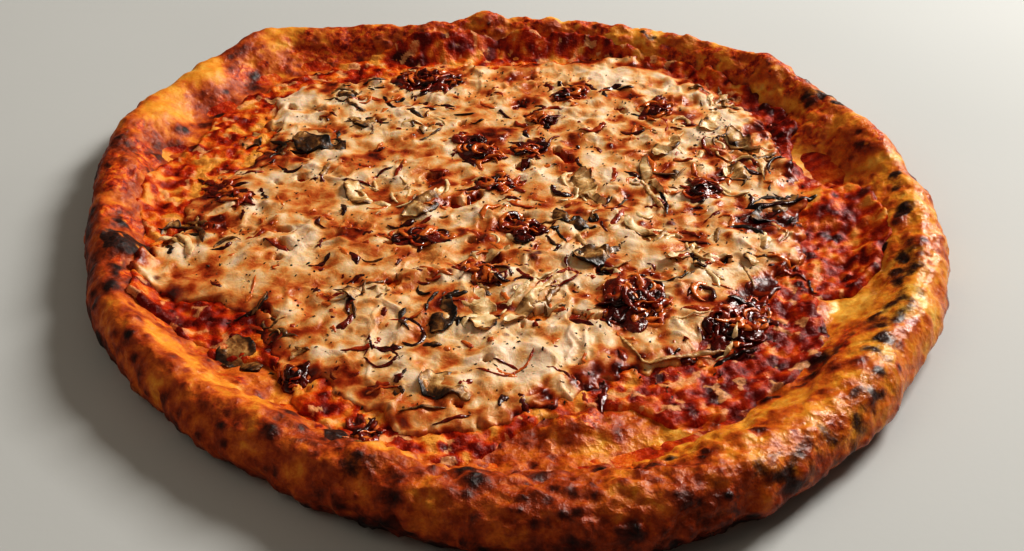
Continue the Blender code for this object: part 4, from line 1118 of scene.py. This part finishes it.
def melted_cheese():
    """Melted cheese from cream to orange oil, browned in spots, softly lit from within and shining where oily."""
    f = Finish("melted_cheese")
    coarse, grain = f.noise(200.0, 5.0, 0.6, 0.6), f.noise(800.0, 4.0, 0.62)
    oil = f.mixed(f.value("oil"), (coarse, 0.55), (grain, 0.25))
    colour = f.ramp(
        oil,
        (0.0, 236, 208, 180), (0.22, 230, 190, 142), (0.42, 220, 152, 86), (0.58, 192, 102, 46), (0.76, 148, 52, 17),
        (0.95, 80, 18, 7),
    )
    toasted = f.step(f.mixed(f.value("brown"), (coarse, 0.6), clamp=False), 0.35, 1.0)
    colour = f.mix(toasted, colour, f.ramp(grain, (0.3, 58, 14, 6), (0.7, 138, 50, 18)))
    flecks = f.step(f.cells(260.0), 0.10, 0.17, 0.85, 0.0)
    few = f.step(f.noise(90.0, 2.0), 0.45, 0.6)
    colour = f.mix(f.math("MULTIPLY", flecks, few), colour, linear(66, 44, 22))
    rough = f.step(oil, 0.2, 0.9, 0.42, 0.20)
    bumps = (coarse, 0.5, 0.0012), (grain, 0.40, 0.0005)
    return f.done(colour, rough, bumps, glow=0.22, glow_reach=0.003, specular=0.32)


def mushroom_flesh():
    """Mushroom from cream to dark grey-brown, streaked, and darker along the cap's edge and gills."""
    f = Finish("mushroom_flesh")
    grain, streak = f.noise(700.0, 4.0, 0.62), f.noise(230.0, 5.0, 0.62, 1.2)
    dark = f.math("ADD", f.value("darkness"), f.math("MULTIPLY", f.value("edge"), 0.5))
    colour = f.ramp(
        f.mixed(dark, (streak, 1.3), (grain, 0.5)),
        (0.0, 240, 212, 168), (0.25, 220, 176, 118), (0.5, 150, 104, 56), (0.75, 76, 46, 24), (1.0, 28, 16, 10),
    )
    rough = f.step(streak, 0.3, 0.7, 0.22, 0.45)
    bumps = (streak, 0.6, 0.0010), (grain, 0.4, 0.0004)
    return f.done(colour, rough, bumps, glow=0.12, glow_reach=0.002, specular=0.45)


def caramelised_onion():
    """Onion baked dark: from near black through red-brown to amber, with a wet shine."""
    f = Finish("caramelised_onion")
    streak, grain = f.noise(420.0, 3.0), f.noise(1300.0, 2.0)
    colour = f.ramp(
        f.mixed(f.value("tone"), (f.noise(180.0, 2.0), 1.0), (streak, 0.5), (grain, 0.2)),
        (0.0, 26, 7, 4), (0.3, 66, 12, 5), (0.55, 118, 28, 9), (0.8, 172, 62, 20), (1.0, 214, 120, 50),
    )
    rough = f.step(streak, 0.3, 0.7, 0.14, 0.30)
    bumps = (streak, 0.6, 0.0008), (grain, 0.4, 0.0004)
    return f.done(colour, rough, bumps, glow=0.1, glow_reach=0.001, specular=0.5)


def dried_herb():
    """Dried leaf, from near black to a dull brown-green."""
    f = Finish("dried_herb")
    tone = f.mixed(f.value("tone"), (f.noise(900.0, 2.0), 0.4))
    colour = f.ramp(tone, (0.0, 22, 18, 10), (0.5, 48, 40, 18), (1.0, 84, 62, 26))
    return f.done(colour, 0.6, [(f.noise(1500.0, 2.0), 0.3, 0.0003)])


def studio_floor():
    """Pale matt grey with the faintest grain."""
    f = Finish("pale_floor")
    tint = f.step(f.noise(4.0, 2.0), 0.3, 0.7, 0.0, 1.0)
    colour = f.mix(tint, (0.52, 0.53, 0.53, 1.0), (0.55, 0.56, 0.56, 1.0))
    return f.done(colour, 0.75, [(f.noise(300.0, 2.0), 0.05, 0.0005)])


def set_finish(piece, material, slot, *nodes):
    """Gives a piece its material and its body, and hides the nodes that it stands for. The slot is not used."""
    piece.data.materials.clear()
    piece.data.materials.append(material)
    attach(piece, "root")
    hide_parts(*nodes)


# Stage, camera and lights

CAMERA_PLACE = (2.8, -437.9, 287.0)
CAMERA_PITCH = 35.2
CAMERA_LENS = 47.46
FLOOR_SIZE = 6.0
SURROUND = (0.96, 0.84, 0.70, 1.0)
SURROUND_STRENGTH = 0.14

# Lights as (azimuth, elevation, distance, size, power, colour)
WINDOW = (42.0, 34.0, 1.9, 0.65, 40.0, (0.94, 0.92, 0.87))
FILL = (200.0, 50.0, 1.4, 1.0, 2.2, (0.96, 0.86, 0.72))


def make_camera():
    """The camera at the photograph's place, looking straight back and down."""
    data = bpy.data.cameras.new("camera")
    data.lens = CAMERA_LENS
    data.sensor_width = 36.0
    data.clip_start = 0.01
    data.dof.use_dof = False
    camera = bpy.data.objects.new("camera", data)
    camera.location = [value * MM for value in CAMERA_PLACE]
    camera.rotation_euler = (math.radians(90.0 - CAMERA_PITCH), 0.0, 0.0)
    bpy.context.scene.collection.objects.link(camera)
    bpy.context.scene.camera = camera


def soft_light(name, azimuth, elevation, distance, size, power, colour):
    """A square soft box that looks at the pizza. Azimuth 0 is to the right, 90 behind."""
    data = bpy.data.lights.new(name, "AREA")
    data.shape = "SQUARE"
    data.size = size
    data.energy = power
    data.color = colour
    light = bpy.data.objects.new(name, data)
    a, e = math.radians(azimuth), math.radians(elevation)
    direction = (math.cos(e) * math.cos(a), math.cos(e) * math.sin(a), math.sin(e))
    light.location = [distance * share for share in direction]
    light.rotation_euler = (math.pi / 2 - e, 0.0, a + math.pi / 2)
    bpy.context.scene.collection.objects.link(light)


def make_stage():
    """The floor, the light from all round, and the two soft boxes."""
    bpy.ops.mesh.primitive_plane_add(size=FLOOR_SIZE)
    floor = bpy.context.active_object
    floor.name = "floor"
    floor.data.materials.append(studio_floor())
    world = bpy.data.worlds.new("studio")
    world.use_nodes = True
    background = world.node_tree.nodes["Background"]
    background.inputs["Color"].default_value = SURROUND
    background.inputs["Strength"].default_value = SURROUND_STRENGTH
    bpy.context.scene.world = world
    soft_light("window", *WINDOW)
    soft_light("fill", *FILL)
    settings = bpy.context.scene.view_settings
    settings.view_transform = "Standard"
    settings.look = "High Contrast"


def main():
    make_camera()
    make_stage()
    flesh, onion = mushroom_flesh(), caramelised_onion()
    set_finish(make_crust(), baked_dough(), "dough", "crust")
    set_finish(make_sauce(), tomato_sauce(), "sauce", "sauce")
    strips, draw = loose_strips()
    clumps = np.vstack([clump_strips(number, entry)[0].reshape(-1, 3) for number, entry in enumerate(ONION_CLUMPS)])
    set_finish(make_cheese(strips.reshape(-1, 3), clumps), melted_cheese(), "cheese", "cheese")
    for number, entry in enumerate(MUSHROOM_SLICES):
        set_finish(make_slice(number, entry), flesh, "mushroom", f"mushroom_{number + 1:02d}")
    for number, entry in enumerate(ONION_CLUMPS):
        set_finish(make_clump(number, entry), onion, "onion", f"onion_{number + 1:02d}")
    tones = {"tone": draw.uniform(0.15, 1.2, len(strips))}
    set_finish(strips_piece("loose_onion_strips", strips, tones), onion, "onion", "cheese")
    tones = {"tone": [entry[2] for entry in LONG_STRIPS]}
    set_finish(strips_piece("long_onion_strips", placed_strips(LONG_STRIPS), tones), onion, "onion", "cheese")
    set_finish(make_shreds(), flesh, "mushroom", "cheese")
    shades = {"darkness": [entry[2] for entry in MUSHROOM_STICKS], "edge": np.zeros(len(MUSHROOM_STICKS))}
    set_finish(strips_piece("mushroom_sticks", placed_strips(MUSHROOM_STICKS), shades), flesh, "mushroom", "cheese")
    set_finish(make_herbs(), dried_herb(), "onion", "cheese")


main()
